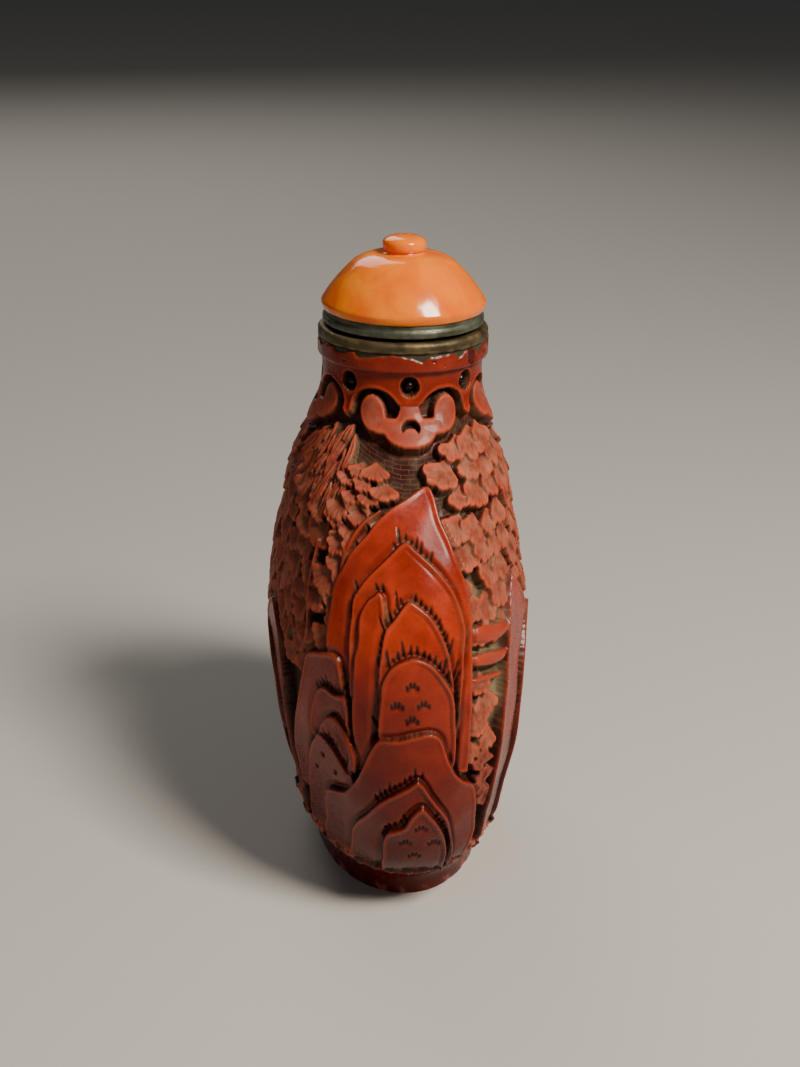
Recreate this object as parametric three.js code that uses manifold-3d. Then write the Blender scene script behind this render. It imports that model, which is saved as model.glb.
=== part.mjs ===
// A carved red lacquer snuff bottle with a metal mouth ring and a lift-off domed stopper.
// Millimetres, +Z up. The foot stands on Z = 0, the narrow ends face -Y and +Y, and the
// broad faces face -X and +X. An angle round the bottle is 0 at -Y and a quarter turn at +X.
import * as THREE from 'three';
import { mergeVertices } from 'three/addons/utils/BufferGeometryUtils.js';
import Module from 'manifold-3d';

const wasm = await Module();
wasm.setup();

// Uncarved outer surface: height, half thickness along X, half width along Y.
const bodyStations = [
  { z: 0.0, thick: 9.9, wide: 16.8 },
  { z: 2.2, thick: 10.1, wide: 17.1 },
  { z: 6.4, thick: 12.3, wide: 21.8 },
  { z: 12.0, thick: 13.4, wide: 24.4 },
  { z: 19.0, thick: 14.8, wide: 25.8 },
  { z: 26.0, thick: 15.25, wide: 26.0 },
  { z: 34.0, thick: 14.8, wide: 25.0 },
  { z: 41.0, thick: 13.5, wide: 22.0 },
  { z: 47.0, thick: 12.4, wide: 17.4 },
  { z: 52.0, thick: 10.4, wide: 12.2 },
  { z: 55.4, thick: 9.0, wide: 9.3 },
  { z: 58.4, thick: 8.8, wide: 8.8 },
  { z: 61.4, thick: 8.8, wide: 8.8 },
];
const footRows = [0, 1.1, 2.2, 4.0, 5.6];
const carveDepth = 1.2;
const carvedFrom = 6.9;
const carvedTo = 55.0;
const carveEdge = 0.5;
const carvedRowStep = 5.4;
const neckHeight = 56.8;
const lipBottom = 59.6;
const lipChamfer = 0.3;
const lipRadius = 9.35;
const mouthHeight = 61.7;

// Hollow inside.
const wallThickness = 3.0;
const floorHeight = 5.0;
const floorRounding = 1.4;
const floorInset = 5.5;
const cavityRows = [11, 18, 26, 34, 41, 46, 50];
const cavityTop = 53.5;
const boreRadius = 5.5;

// Mouth ring, stopper collar and stopper cap.
const ringTop = 62.8;
const ringRadius = 9.35;
const ringBevel = 0.3;
const collarSeatRadius = 7.6;
const collarDiscBottom = 63.2;
const collarRadius = 8.85;
const collarStepRadius = 8.6;
const collarStepHeight = 63.9;
const collarTop = 64.6;
const spigotRadius = 5.1;
const spigotBottom = 59.0;
const spigotChamfer = 0.5;
const capEdgeRadius = 8.75;
const capRimRadius = 9.05;
const capRimHeight = 65.4;
const capSlopeRadius = 7.7;
const capSlopeHeight = 67.6;
const capShoulderRadius = 5.5;
const capShoulderHeight = 69.6;
const capCrownRadius = 2.7;
const capCrownHeight = 70.45;
const capCrownTurn = 1.0;
const knobWaistRadius = 2.05;
const knobWaistHeight = 70.75;
const knobRadius = 2.4;
const knobHeight = 71.5;
const knobTop = 72.4;

// Carved rocks. Each one rises to a peak and spreads to either side by reach * (1 - e^(-drop / fall)),
// where drop is the height below the peak. Angles and reaches are degrees round the bottle.
const frontRocks = [
  { peak: 8, z: 49.1, foot: 22, left: 46, leftFall: 5.2, right: 17, rightFall: 4.5 },
  { peak: -5, z: 44.6, foot: 22, left: 24, leftFall: 2.9, right: 25, rightFall: 3.2 },
  { peak: -5, z: 39.5, foot: 20, left: 12.5, leftFall: 3.4, right: 20.5, rightFall: 3.6 },
  { peak: -2, z: 34.1, foot: 20, left: 15, leftFall: 2.2, right: 18, rightFall: 2.6 },
  { peak: -39, z: 32.8, foot: 9, left: 20, leftFall: 4.2, right: 11, rightFall: 1.6 },
  { peak: -36, z: 25.6, foot: 9, left: 14, leftFall: 4.2, right: 11, rightFall: 2.0 },
  { peak: 22, z: 19.0, foot: 6.6, left: 16, leftFall: 1.4, right: 10.5, rightFall: 2.6 },
  { peak: -37, z: 16.6, foot: 6.6, left: 9, leftFall: 1.8, right: 14, rightFall: 1.5 },
  { peak: -2, z: 25.9, foot: 6.6, left: 30, leftFall: 3.4, right: 19, rightFall: 2.2 },
  { peak: 0, z: 20.1, foot: 6.6, left: 38, leftFall: 5.5, right: 19, rightFall: 4.2 },
  { peak: 2, z: 16.6, foot: 6.6, left: 19, leftFall: 3.2, right: 16, rightFall: 3.0 },
];
const backRocks = [
  { peak: 174, z: 47.0, foot: 20, left: 22, leftFall: 4.6, right: 36, rightFall: 5.4 },
  { peak: 184, z: 41.0, foot: 20, left: 24, leftFall: 3.0, right: 22, rightFall: 3.2 },
  { peak: 172, z: 25.5, foot: 6.6, left: 22, leftFall: 2.0, right: 30, rightFall: 3.4 },
  { peak: 182, z: 18.5, foot: 6.6, left: 30, leftFall: 4.4, right: 22, rightFall: 3.2 },
];
const broadFaceRocks = [
  { peak: 52, z: 37.4, foot: 6.6, left: 15.5, leftFall: 1.3, right: 20, rightFall: 5.0 },
  { peak: 104, z: 24.0, foot: 6.6, left: 34, leftFall: 4.4, right: 32, rightFall: 3.4 },
  { peak: -76, z: 28.5, foot: 6.6, left: 34, leftFall: 4.0, right: 16, rightFall: 3.4 },
  { peak: -122, z: 24.0, foot: 6.6, left: 24, leftFall: 3.4, right: 28, rightFall: 5.0 },
];
const rockFall = 0.65;
const rockFallHeight = 3.0;
const rockRows = 5;
const rockRowBunching = 1.8;
const rockColumns = 2;

// Carved foliage on the broad faces: rows of lobed leaf sprays, each row turned by half a step.
const sprayRows = 4;
const spraysPerRow = 3;
const sprayLow = 31.5;
const sprayRowStep = 5.2;
const sprayArc = 84;
const sprayArcNarrowing = 3;
const sprayRadius = 4.0;
const sprayLobes = 5;
const sprayLobeDepth = 0.2;
const sprayLift = -0.1;
const foliageLift = -0.65;
const massColumns = 6;
const massHeights = [30, 38, 46, 51];

// Cloud collar: a lappet of three round lobes on each narrow end and each broad face.
const lappetCount = 4;
const lappetHeight = 54.6;
const lappetLift = 0.15;
const lappetLobes = [
  { across: -3.4, up: 0.4, radius: 2.7 },
  { across: 3.4, up: 0.4, radius: 2.7 },
  { across: 0, up: -0.9, radius: 2.9 },
];
const lappetSides = 8;

// Facets.
const bodyColumns = 32;
const cavityColumns = 20;
const latheSegments = 32;
const curveSteps = 3;
const patchSink = 0.6;
const degree = Math.PI / 180;

const lacquer = new THREE.MeshStandardMaterial({ color: 0x9e3420, roughness: 0.45, metalness: 0 });
const ringMetal = new THREE.MeshStandardMaterial({ color: 0x5a5444, roughness: 0.55, metalness: 1 });
const collarMetal = new THREE.MeshStandardMaterial({ color: 0x59604f, roughness: 0.5, metalness: 1 });
const amberGlass = new THREE.MeshStandardMaterial({ color: 0xe07a18, roughness: 0.15, metalness: 0 });

const stationCurve = new THREE.CatmullRomCurve3(
  bodyStations.map(({ z, thick, wide }) => new THREE.Vector3(thick, wide, z)),
);

// Half thickness (x) and half width (y) of the uncarved bottle at one height, by halving the curve.
function sectionAt(z) {
  let low = 0;
  let high = 1;
  for (let step = 0; step < 24; step += 1) {
    const middle = (low + high) / 2;
    if (stationCurve.getPoint(middle).z < z) low = middle;
    else high = middle;
  }
  return stationCurve.getPoint(low);
}

// A point on the bottle: an oval section at height z, lifted along the surface's own normal.
function surfacePoint(angle, z, lift) {
  const small = 0.01;
  const onOval = (turn, height) => {
    const section = sectionAt(height);
    return new THREE.Vector3(section.x * Math.sin(turn), -section.y * Math.cos(turn), height);
  };
  const point = onOval(angle, z);
  const around = onOval(angle + small, z).sub(point);
  const upward = onOval(angle, z + small).sub(point);
  return point.addScaledVector(around.cross(upward).normalize(), lift);
}

// Millimetres along the surface for one radian round the bottle.
function arcPerRadian(angle, z) {
  const section = sectionAt(z);
  return Math.hypot(section.x * Math.cos(angle), section.y * Math.sin(angle));
}

// Turns a list of corner points and triangles into a solid, with shared corners merged.
function solidFrom(points, triangles) {
  const geometry = new THREE.BufferGeometry();
  geometry.setAttribute('position', new THREE.Float32BufferAttribute(points.flatMap((p) => p.toArray()), 3));
  geometry.setIndex(triangles.flat());
  return solidOf(geometry);
}

function solidOf(geometry) {
  geometry.deleteAttribute('normal');
  geometry.deleteAttribute('uv');
  const merged = mergeVertices(geometry, 1e-5);
  const corners = [];
  const index = merged.index.array;
  for (let i = 0; i < index.length; i += 3) {
    const [a, b, c] = [index[i], index[i + 1], index[i + 2]];
    if (a !== b && b !== c && c !== a) corners.push(a, b, c);
  }
  const mesh = new wasm.Mesh({
    numProp: 3,
    vertProperties: new Float32Array(merged.attributes.position.array),
    triVerts: new Uint32Array(corners),
  });
  return new wasm.Manifold(mesh);
}

function geometryOf(solid) {
  const { vertProperties, triVerts } = solid.getMesh();
  const geometry = new THREE.BufferGeometry();
  geometry.setAttribute('position', new THREE.BufferAttribute(vertProperties, 3));
  geometry.setIndex(new THREE.BufferAttribute(triVerts, 1));
  geometry.computeVertexNormals();
  return geometry;
}

// Rings of points stacked from bottom to top, closed by a fan at each end.
function stackedRings(rings) {
  const columns = rings[0].length;
  const points = rings.flat();
  const triangles = [];
  for (let row = 0; row + 1 < rings.length; row += 1) {
    for (let column = 0; column < columns; column += 1) {
      const next = (column + 1) % columns;
      const [a, b] = [row * columns + column, row * columns + next];
      const [c, d] = [a + columns, b + columns];
      triangles.push([a, b, d], [a, d, c]);
    }
  }
  const centre = (ring) => ring.reduce((sum, p) => sum.add(p), new THREE.Vector3()).divideScalar(columns);
  const bottom = points.push(centre(rings[0])) - 1;
  const top = points.push(centre(rings[rings.length - 1])) - 1;
  const lastRow = (rings.length - 1) * columns;
  for (let column = 0; column < columns; column += 1) {
    const next = (column + 1) % columns;
    triangles.push([bottom, next, column], [top, lastRow + column, lastRow + next]);
  }
  return solidFrom(points, triangles);
}

// A slab that follows the bottle: rows of { angle, z, lift } from bottom to top and left to right.
function slab(rows) {
  const columns = rows[0].length;
  const count = rows.length * columns;
  const outside = rows.flat().map(({ angle, z, lift }) => surfacePoint(angle, z, lift));
  const inside = rows.flat().map(({ angle, z }) => surfacePoint(angle, z, -carveDepth - patchSink));
  const triangles = [];
  for (let row = 0; row + 1 < rows.length; row += 1) {
    for (let column = 0; column + 1 < columns; column += 1) {
      const a = row * columns + column;
      const [b, c, d] = [a + 1, a + columns, a + columns + 1];
      triangles.push([a, b, d], [a, d, c]);
      triangles.push([a + count, d + count, b + count], [a + count, c + count, d + count]);
    }
  }
  const rim = [];
  for (let column = 0; column + 1 < columns; column += 1) rim.push(column);
  for (let row = 0; row + 1 < rows.length; row += 1) rim.push(row * columns + columns - 1);
  for (let column = columns - 1; column > 0; column -= 1) rim.push((rows.length - 1) * columns + column);
  for (let row = rows.length - 1; row > 0; row -= 1) rim.push(row * columns);
  rim.forEach((a, i) => {
    const b = rim[(i + 1) % rim.length];
    triangles.push([a, a + count, b + count], [a, b + count, b]);
  });
  return solidFrom(outside.concat(inside), triangles);
}

// A slab with a round or lobed outline: rings that shrink towards its middle.
function disc({ angle, z, lift, radius, lobes = 0, lobeDepth = 0, sides = 10 }) {
  const perRadian = arcPerRadian(angle, z);
  const outline = (scale, height) => {
    const ring = [];
    for (let side = 0; side < sides; side += 1) {
      const turn = (side / sides) * 2 * Math.PI;
      const reach = radius * scale * (1 - lobeDepth * Math.abs(Math.sin((lobes * turn) / 2)));
      const across = (reach * Math.cos(turn)) / perRadian;
      ring.push(surfacePoint(angle + across, z + reach * Math.sin(turn), height));
    }
    return ring;
  };
  return stackedRings([outline(1, -carveDepth - patchSink), outline(1, lift)]);
}

function rock({ peak, z, foot, left, leftFall, right, rightFall }) {
  const rows = [];
  for (let row = 0; row <= rockRows; row += 1) {
    const share = 1 - (1 - row / rockRows) ** rockRowBunching;
    const height = foot + (z - foot) * share;
    const drop = z - height;
    const from = peak - left * (1 - Math.exp(-drop / leftFall));
    const to = peak + right * (1 - Math.exp(-drop / rightFall));
    const lift = -rockFall * (1 - Math.exp(-drop / rockFallHeight));
    const points = [];
    for (let column = 0; column <= rockColumns; column += 1) {
      points.push({ angle: (from + (to - from) * (column / rockColumns)) * degree, z: height, lift });
    }
    rows.push(points);
  }
  return slab(rows);
}

function vessel() {
  const rows = [...footRows, carvedFrom].map((z) => ({ z, lift: 0 }));
  const lastCarvedRow = carvedTo - carveEdge;
  for (let z = carvedFrom + carveEdge; z < lastCarvedRow - carvedRowStep / 2; z += carvedRowStep) {
    rows.push({ z, lift: -carveDepth });
  }
  rows.push({ z: lastCarvedRow, lift: -carveDepth }, { z: carvedTo, lift: 0 }, { z: neckHeight, lift: 0 });
  const rings = rows.map(({ z, lift }) => {
    const ring = [];
    for (let column = 0; column < bodyColumns; column += 1) {
      const point = surfacePoint((column / bodyColumns) * 2 * Math.PI, z, lift);
      point.z = z;
      ring.push(point);
    }
    return ring;
  });
  const neckRadius = sectionAt(lipBottom).x;
  const lip = [[neckRadius, lipBottom], [lipRadius, lipBottom + lipChamfer], [lipRadius, mouthHeight]];
  lip.forEach(([radius, z]) => rings.push(circle(radius, z, bodyColumns)));
  return stackedRings(rings);
}

function circle(radius, z, columns) {
  const ring = [];
  for (let column = 0; column < columns; column += 1) {
    const turn = (column / columns) * 2 * Math.PI;
    ring.push(new THREE.Vector3(radius * Math.sin(turn), -radius * Math.cos(turn), z));
  }
  return ring;
}

function cavity() {
  const heights = [floorHeight + floorRounding, ...cavityRows];
  const ring = (z, inset) => {
    const section = sectionAt(z);
    const points = [];
    for (let column = 0; column < cavityColumns; column += 1) {
      const turn = (column / cavityColumns) * 2 * Math.PI;
      const [x, y] = [section.x - inset, section.y - inset];
      points.push(new THREE.Vector3(x * Math.sin(turn), -y * Math.cos(turn), z));
    }
    return points;
  };
  const rings = [ring(floorHeight, floorInset)];
  heights.forEach((z) => rings.push(ring(z, wallThickness)));
  rings.push(circle(boreRadius, cavityTop, cavityColumns));
  rings.push(circle(boreRadius, mouthHeight + 1, cavityColumns));
  return stackedRings(rings);
}

function foliage() {
  const sprays = [];
  for (const face of [90, -90]) {
    for (let row = 0; row < sprayRows; row += 1) {
      const z = sprayLow + row * sprayRowStep;
      const arc = sprayArc - row * sprayArcNarrowing;
      for (let place = 0; place < spraysPerRow; place += 1) {
        const across = (place + (row % 2) * 0.5) / spraysPerRow - 0.5;
        sprays.push(disc({
          angle: (face + across * arc) * degree,
          z,
          lift: sprayLift,
          radius: sprayRadius,
          lobes: sprayLobes,
          lobeDepth: sprayLobeDepth,
        }));
      }
    }
    const mass = massHeights.map((z) => {
      const points = [];
      for (let column = 0; column <= massColumns; column += 1) {
        const angle = (face + (column / massColumns - 0.5) * sprayArc) * degree;
        points.push({ angle, z, lift: foliageLift });
      }
      return points;
    });
    sprays.push(slab(mass));
  }
  return sprays;
}

function cloudCollar() {
  const lappets = [];
  for (let place = 0; place < lappetCount; place += 1) {
    const middle = (place / lappetCount) * 2 * Math.PI;
    const perRadian = arcPerRadian(middle, lappetHeight);
    lappetLobes.forEach(({ across, up, radius }) => {
      const angle = middle + across / perRadian;
      lappets.push(disc({ angle, z: lappetHeight + up, lift: lappetLift, radius, sides: lappetSides }));
    });
  }
  return lappets;
}

function bottleBody() {
  let solid = vessel();
  const rocks = [...frontRocks, ...backRocks, ...broadFaceRocks].map(rock);
  [...rocks, ...foliage(), ...cloudCollar()].forEach((piece) => {
    solid = solid.add(piece);
  });
  return geometryOf(solid.subtract(cavity()));
}

// Turns a closed profile of [radius, z] points about the vertical axis.
function turned(points) {
  const profile = points.map(([radius, z]) => new THREE.Vector2(radius, z));
  return new THREE.LatheGeometry(profile, latheSegments).rotateX(Math.PI / 2);
}

function mouthRing() {
  return turned([
    [boreRadius, mouthHeight],
    [ringRadius, mouthHeight],
    [ringRadius, ringTop - ringBevel],
    [ringRadius - ringBevel, ringTop],
    [boreRadius, ringTop],
    [boreRadius, mouthHeight],
  ]);
}

function stopperCollar() {
  return turned([
    [0, spigotBottom],
    [spigotRadius - spigotChamfer, spigotBottom],
    [spigotRadius, spigotBottom + spigotChamfer],
    [spigotRadius, ringTop],
    [collarSeatRadius, ringTop],
    [collarSeatRadius, collarDiscBottom],
    [collarRadius, collarDiscBottom],
    [collarRadius, collarStepHeight],
    [collarStepRadius, collarStepHeight],
    [collarStepRadius, collarTop],
    [0, collarTop],
  ]);
}

function stopperCap() {
  const profile = new THREE.Path();
  profile.moveTo(0, collarTop);
  profile.lineTo(capEdgeRadius, collarTop);
  profile.lineTo(capRimRadius, capRimHeight);
  profile.quadraticCurveTo(capSlopeRadius, capSlopeHeight, capShoulderRadius, capShoulderHeight);
  profile.quadraticCurveTo(capShoulderRadius - capCrownTurn, capCrownHeight, capCrownRadius, capCrownHeight);
  profile.quadraticCurveTo(knobWaistRadius, capCrownHeight, knobWaistRadius, knobWaistHeight);
  profile.quadraticCurveTo(knobRadius, knobWaistHeight, knobRadius, knobHeight);
  profile.quadraticCurveTo(knobRadius, knobTop, 0, knobTop);
  return turned(profile.getPoints(curveSteps).map((point) => point.toArray()));
}

function named(name, geometry, material) {
  const mesh = new THREE.Mesh(geometry, material);
  mesh.name = name;
  return mesh;
}

const bottle = new THREE.Group();
bottle.add(named('bottle_body', bottleBody(), lacquer));
bottle.add(named('mouth_ring', mouthRing(), ringMetal));

const stopper = new THREE.Group();
stopper.add(named('stopper_collar', stopperCollar(), collarMetal));
stopper.add(named('stopper_cap', stopperCap(), amberGlass));
bottle.add(stopper);

export default bottle;
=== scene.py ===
import math
import bpy
import numpy as np
from mathutils import Matrix, Vector


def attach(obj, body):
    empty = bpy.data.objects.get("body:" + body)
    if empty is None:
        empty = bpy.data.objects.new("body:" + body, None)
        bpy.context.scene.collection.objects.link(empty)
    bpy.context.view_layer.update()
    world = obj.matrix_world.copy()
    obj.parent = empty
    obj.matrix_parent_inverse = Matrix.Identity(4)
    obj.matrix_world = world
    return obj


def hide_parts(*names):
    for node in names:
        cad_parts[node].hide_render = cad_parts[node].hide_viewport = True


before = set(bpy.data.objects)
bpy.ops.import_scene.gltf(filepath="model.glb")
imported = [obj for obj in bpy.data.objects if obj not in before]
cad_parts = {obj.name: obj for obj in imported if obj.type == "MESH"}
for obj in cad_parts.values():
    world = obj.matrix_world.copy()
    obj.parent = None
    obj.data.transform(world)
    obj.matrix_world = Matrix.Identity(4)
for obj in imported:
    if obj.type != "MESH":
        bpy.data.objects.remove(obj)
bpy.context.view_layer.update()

# A carved red lacquer snuff bottle. Shapes are worked out in millimetres and written in metres.
# An angle round the bottle is 0 at the narrow end facing -Y and 90 at the broad face facing +X.
mm = 0.001


def toLinear(hexColour):
    # sRGB to linear: c / 12.92 when dark, else ((c + 0.055) / 1.055) to the power 2.4
    channels = [int(hexColour[i:i + 2], 16) / 255 for i in (1, 3, 5)]
    return [c / 12.92 if c <= 0.04045 else ((c + 0.055) / 1.055) ** 2.4 for c in channels] + [1.0]


def addNode(tree, kind, settings=None, links=None):
    # one node: a setting goes to the node itself or to one of its sockets, a link joins a socket to an
    # output, and a plain value among the links is set on its socket
    node = tree.nodes.new(kind)
    for name, value in {**(settings or {}), **(links or {})}.items():
        if isinstance(value, bpy.types.NodeSocket):
            tree.links.new(value, node.inputs[name])
        elif isinstance(name, str) and hasattr(node, name):
            setattr(node, name, value)
        else:
            node.inputs[name].default_value = value
    return node


def newMaterial(name):
    material = bpy.data.materials.new(name)
    material.use_nodes = True
    tree = material.node_tree
    tree.nodes.clear()
    return material, tree


def meshObject(name, points, faces, material, normals=None, attributes=None):
    # points in millimetres, faces as lists or an array of corner numbers
    mesh = bpy.data.meshes.new(name)
    mesh.from_pydata((points * mm).tolist(), [], faces if isinstance(faces, list) else faces.tolist())
    mesh.polygons.foreach_set("use_smooth", np.ones(len(mesh.polygons), bool))
    for key, values in (attributes or {}).items():
        layer = mesh.attributes.new(key, "FLOAT_COLOR", "POINT")
        layer.data.foreach_set("color", values.astype(np.float32).ravel())
    mesh.materials.append(material)
    mesh.update()
    if normals is not None:
        mesh.normals_split_custom_set_from_vertices(normals.tolist())
    thing = bpy.data.objects.new(name, mesh)
    bpy.context.scene.collection.objects.link(thing)
    return thing


form = {
    "z": [0.0, 2.2, 6.4, 12.0, 19.0, 26.0, 34.0, 41.0, 47.0, 52.0, 55.4, 58.4, 61.4],
    "thick": [9.9, 10.1, 12.3, 13.4, 14.8, 15.25, 14.8, 13.5, 12.4, 10.4, 9.0, 8.8, 8.8],
    "wide": [16.8, 17.1, 21.8, 24.4, 25.8, 26.0, 25.0, 22.0, 17.4, 12.2, 9.3, 8.8, 8.8],
    "carveDepth": 1.35,    # from the outer surface down to the ground of the carving
    "lipBottom": 59.6,
    "lipRadius": 9.35,
    "mouth": 61.7,
}


def hermite(z, knots, values):
    # a smooth curve through the knots, each with the slope of its two neighbours
    knots = np.asarray(knots, float)
    values = np.asarray(values, float)
    slopes = np.gradient(values, knots)
    i = np.clip(np.searchsorted(knots, z) - 1, 0, len(knots) - 2)
    gap = knots[i + 1] - knots[i]
    t = np.clip((z - knots[i]) / gap, 0, 1)
    rise = values[i] * (2 * t**3 - 3 * t**2 + 1) + values[i + 1] * (3 * t**2 - 2 * t**3)
    return rise + gap * (slopes[i] * (t**3 - 2 * t**2 + t) + slopes[i + 1] * (t**3 - t**2))


def section(z):
    return hermite(z, form["z"], form["thick"]), hermite(z, form["z"], form["wide"])


def ovalPoint(angle, z):
    # angle in radians: x = half thickness times sine, y = minus half width times cosine
    thick, wide = section(z)
    return np.stack([thick * np.sin(angle), -wide * np.cos(angle), z], -1)


def perRadian(angle, z):
    # mm along the surface for a small turn, per radian: both half axes seen square to that angle
    thick, wide = section(z)
    return np.hypot(thick * np.cos(angle), wide * np.sin(angle))


relief = {
    "rows": 426, "columnsPerPanel": 190, "panels": 5,
    "evenAt": 26.0,        # the columns are spaced by distance at this height
    "frontShare": 0.45,    # how much closer the columns stand round the narrow end at the front
    "frontReach": 1.75, "frontFade": 0.35,    # where they are back to the common distance, in radians
    "backing": 2.4, "backColumns": 5,         # depth of the skin in mm, and columns of its plain back
}

columnCount = relief["columnsPerPanel"] * relief["panels"]
firstAngle = -0.75 * math.pi
fineSteps = 4000
evenAngles = np.linspace(firstAngle, firstAngle + 2 * np.pi, fineSteps + 1)
evenTurn = np.abs((evenAngles[1:] + np.pi) % (2 * np.pi) - np.pi)
evenSteps = perRadian(evenAngles[1:], relief["evenAt"])
evenFront = np.clip((relief["frontReach"] - evenTurn) / relief["frontFade"], 0, 1)
evenSteps *= 1 + relief["frontShare"] * evenFront
evenArc = np.concatenate([[0], np.cumsum(evenSteps)])
columnAngle = np.interp(np.linspace(0, evenArc[-1], columnCount, endpoint=False), evenArc, evenAngles)

underLip = 0.4    # the skin runs on this far behind the lip
fineZ = np.linspace(0, form["lipBottom"] + underLip, 3001)
fineThick, fineWide = section(fineZ)
bend = 0.5 * (np.abs(np.gradient(fineThick, fineZ)) + np.abs(np.gradient(fineWide, fineZ)))
pathAlong = np.concatenate([[0], np.cumsum(np.sqrt(1 + bend[1:] ** 2) * np.diff(fineZ))])
rowZ = np.interp(np.linspace(0, pathAlong[-1], relief["rows"]), pathAlong, fineZ)

gridAngle, gridZ = np.meshgrid(columnAngle, rowZ)
base = ovalPoint(gridAngle, gridZ)
around = np.roll(base, -1, 1) - np.roll(base, 1, 1)
upward = np.gradient(base, axis=0)
baseNormal = np.cross(around, upward)
baseNormal /= np.linalg.norm(baseNormal, axis=-1, keepdims=True)

stepAcross = np.linalg.norm(np.roll(base, -1, 1) - base, axis=-1)
fullArc = np.concatenate([np.zeros((relief["rows"], 1)), np.cumsum(stepAcross, 1)], 1)
girth = fullArc[:, -1]
arc = fullArc[:, :-1]
fromFront = arc[:, [int(np.searchsorted(columnAngle, 0.0))]]
stepUp = np.linalg.norm(np.diff(base, axis=0), axis=-1)
path = np.concatenate([np.zeros((1, columnCount)), np.cumsum(stepUp, 0)], 0)
pathPerZ = np.gradient(path, axis=0) / np.gradient(gridZ, axis=0)
cell = 0.1    # the smallest distance between columns, in mm

# What the carving fills in, one value for each cell of the grid.
lift = np.full(base.shape[:2], -form["carveDepth"])    # mm from the outer surface
matte = np.zeros_like(lift)                            # flat leaf tops, rubbed dull
cut = np.zeros_like(lift)                              # incised strokes
ground = np.ones_like(lift)                            # the deep ground between the motifs
chip = np.zeros_like(lift)                             # broken lacquer
dirtAndShade = np.zeros_like(lift)                             # dark line where a rock meets the one behind, and steep sides: dirt and painted shade
dust = np.zeros_like(lift)                             # pale dust packed into the deep places


def wander(seed, spanAcross, spanUp, angle=None, z=None):
    # smooth unevenness: eight sine waves round and up the bottle, whole numbers of waves round it;
    # the spans are the shortest wavelengths in mm, and the result runs from about -1 to 1
    angle = gridAngle if angle is None else angle
    z = gridZ if z is None else z
    dice = np.random.default_rng(seed)
    waveCount, roundTheBottle = 8, 135
    total = 0
    for _ in range(waveCount):
        waves = int(round(dice.uniform(0.3, 1.0) * roundTheBottle / spanAcross)) * dice.choice([-1, 1])
        rise = dice.uniform(0.3, 1.0) * 2 * np.pi / spanUp
        total = total + np.sin(waves * angle + rise * z + dice.uniform(0, 6.28))
    return total / (waveCount / 2)


def gridTurn(degrees):
    # an angle in degrees as a turn in radians within the span of the grid
    return (np.radians(degrees) - firstAngle) % (2 * math.pi) + firstAngle


def columnAt(degrees):
    return int(np.searchsorted(columnAngle, gridTurn(degrees)) % columnCount)


def shortWay(across, around):
    # the distance to the same place by the shorter way round the bottle
    return across - around * np.round(across / around)


def near(angleDegrees, z, reach):
    # the cells within reach of a place, with their distances across and up the surface in mm
    turn = gridTurn(angleDegrees)
    row = int(np.clip(np.searchsorted(rowZ, z), 0, relief["rows"] - 1))
    column = columnAt(angleDegrees)
    spare = 1.35    # the grid is a little finer than cell in places
    span = int(reach / cell * spare) + 2
    rows = np.arange(max(0, row - span), min(relief["rows"], row + span + 1))
    columns = (column + np.arange(-span, span + 1)) % columnCount
    across = shortWay(arc[np.ix_(rows, columns)] - arc[rows, column][:, None], girth[rows][:, None])
    across += ((columnAngle[column] - turn) * perRadian(turn, rowZ[rows]))[:, None]
    up = path[rows, column] - np.interp(z, rowZ, path[:, column])
    return np.ix_(rows, columns), across, np.broadcast_to(up[:, None], across.shape)


def smooth(x):
    x = np.clip(x, 0, 1)
    return x * x * (3 - 2 * x)


def roundedEdge(inside, radius):
    # how far the top has dropped near an edge: a quarter circle of that radius
    t = np.clip(1 - inside / radius, 0, 1)
    return radius * (1 - np.sqrt(np.clip(1 - t * t, 0, 1)))


def cutGround():
    # the floor of the carving, left a little uneven by the knife; its fret pattern is in the material
    knifeMarks = 0.06
    lift[:] -= knifeMarks * wander(5, 4, 4)


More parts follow.
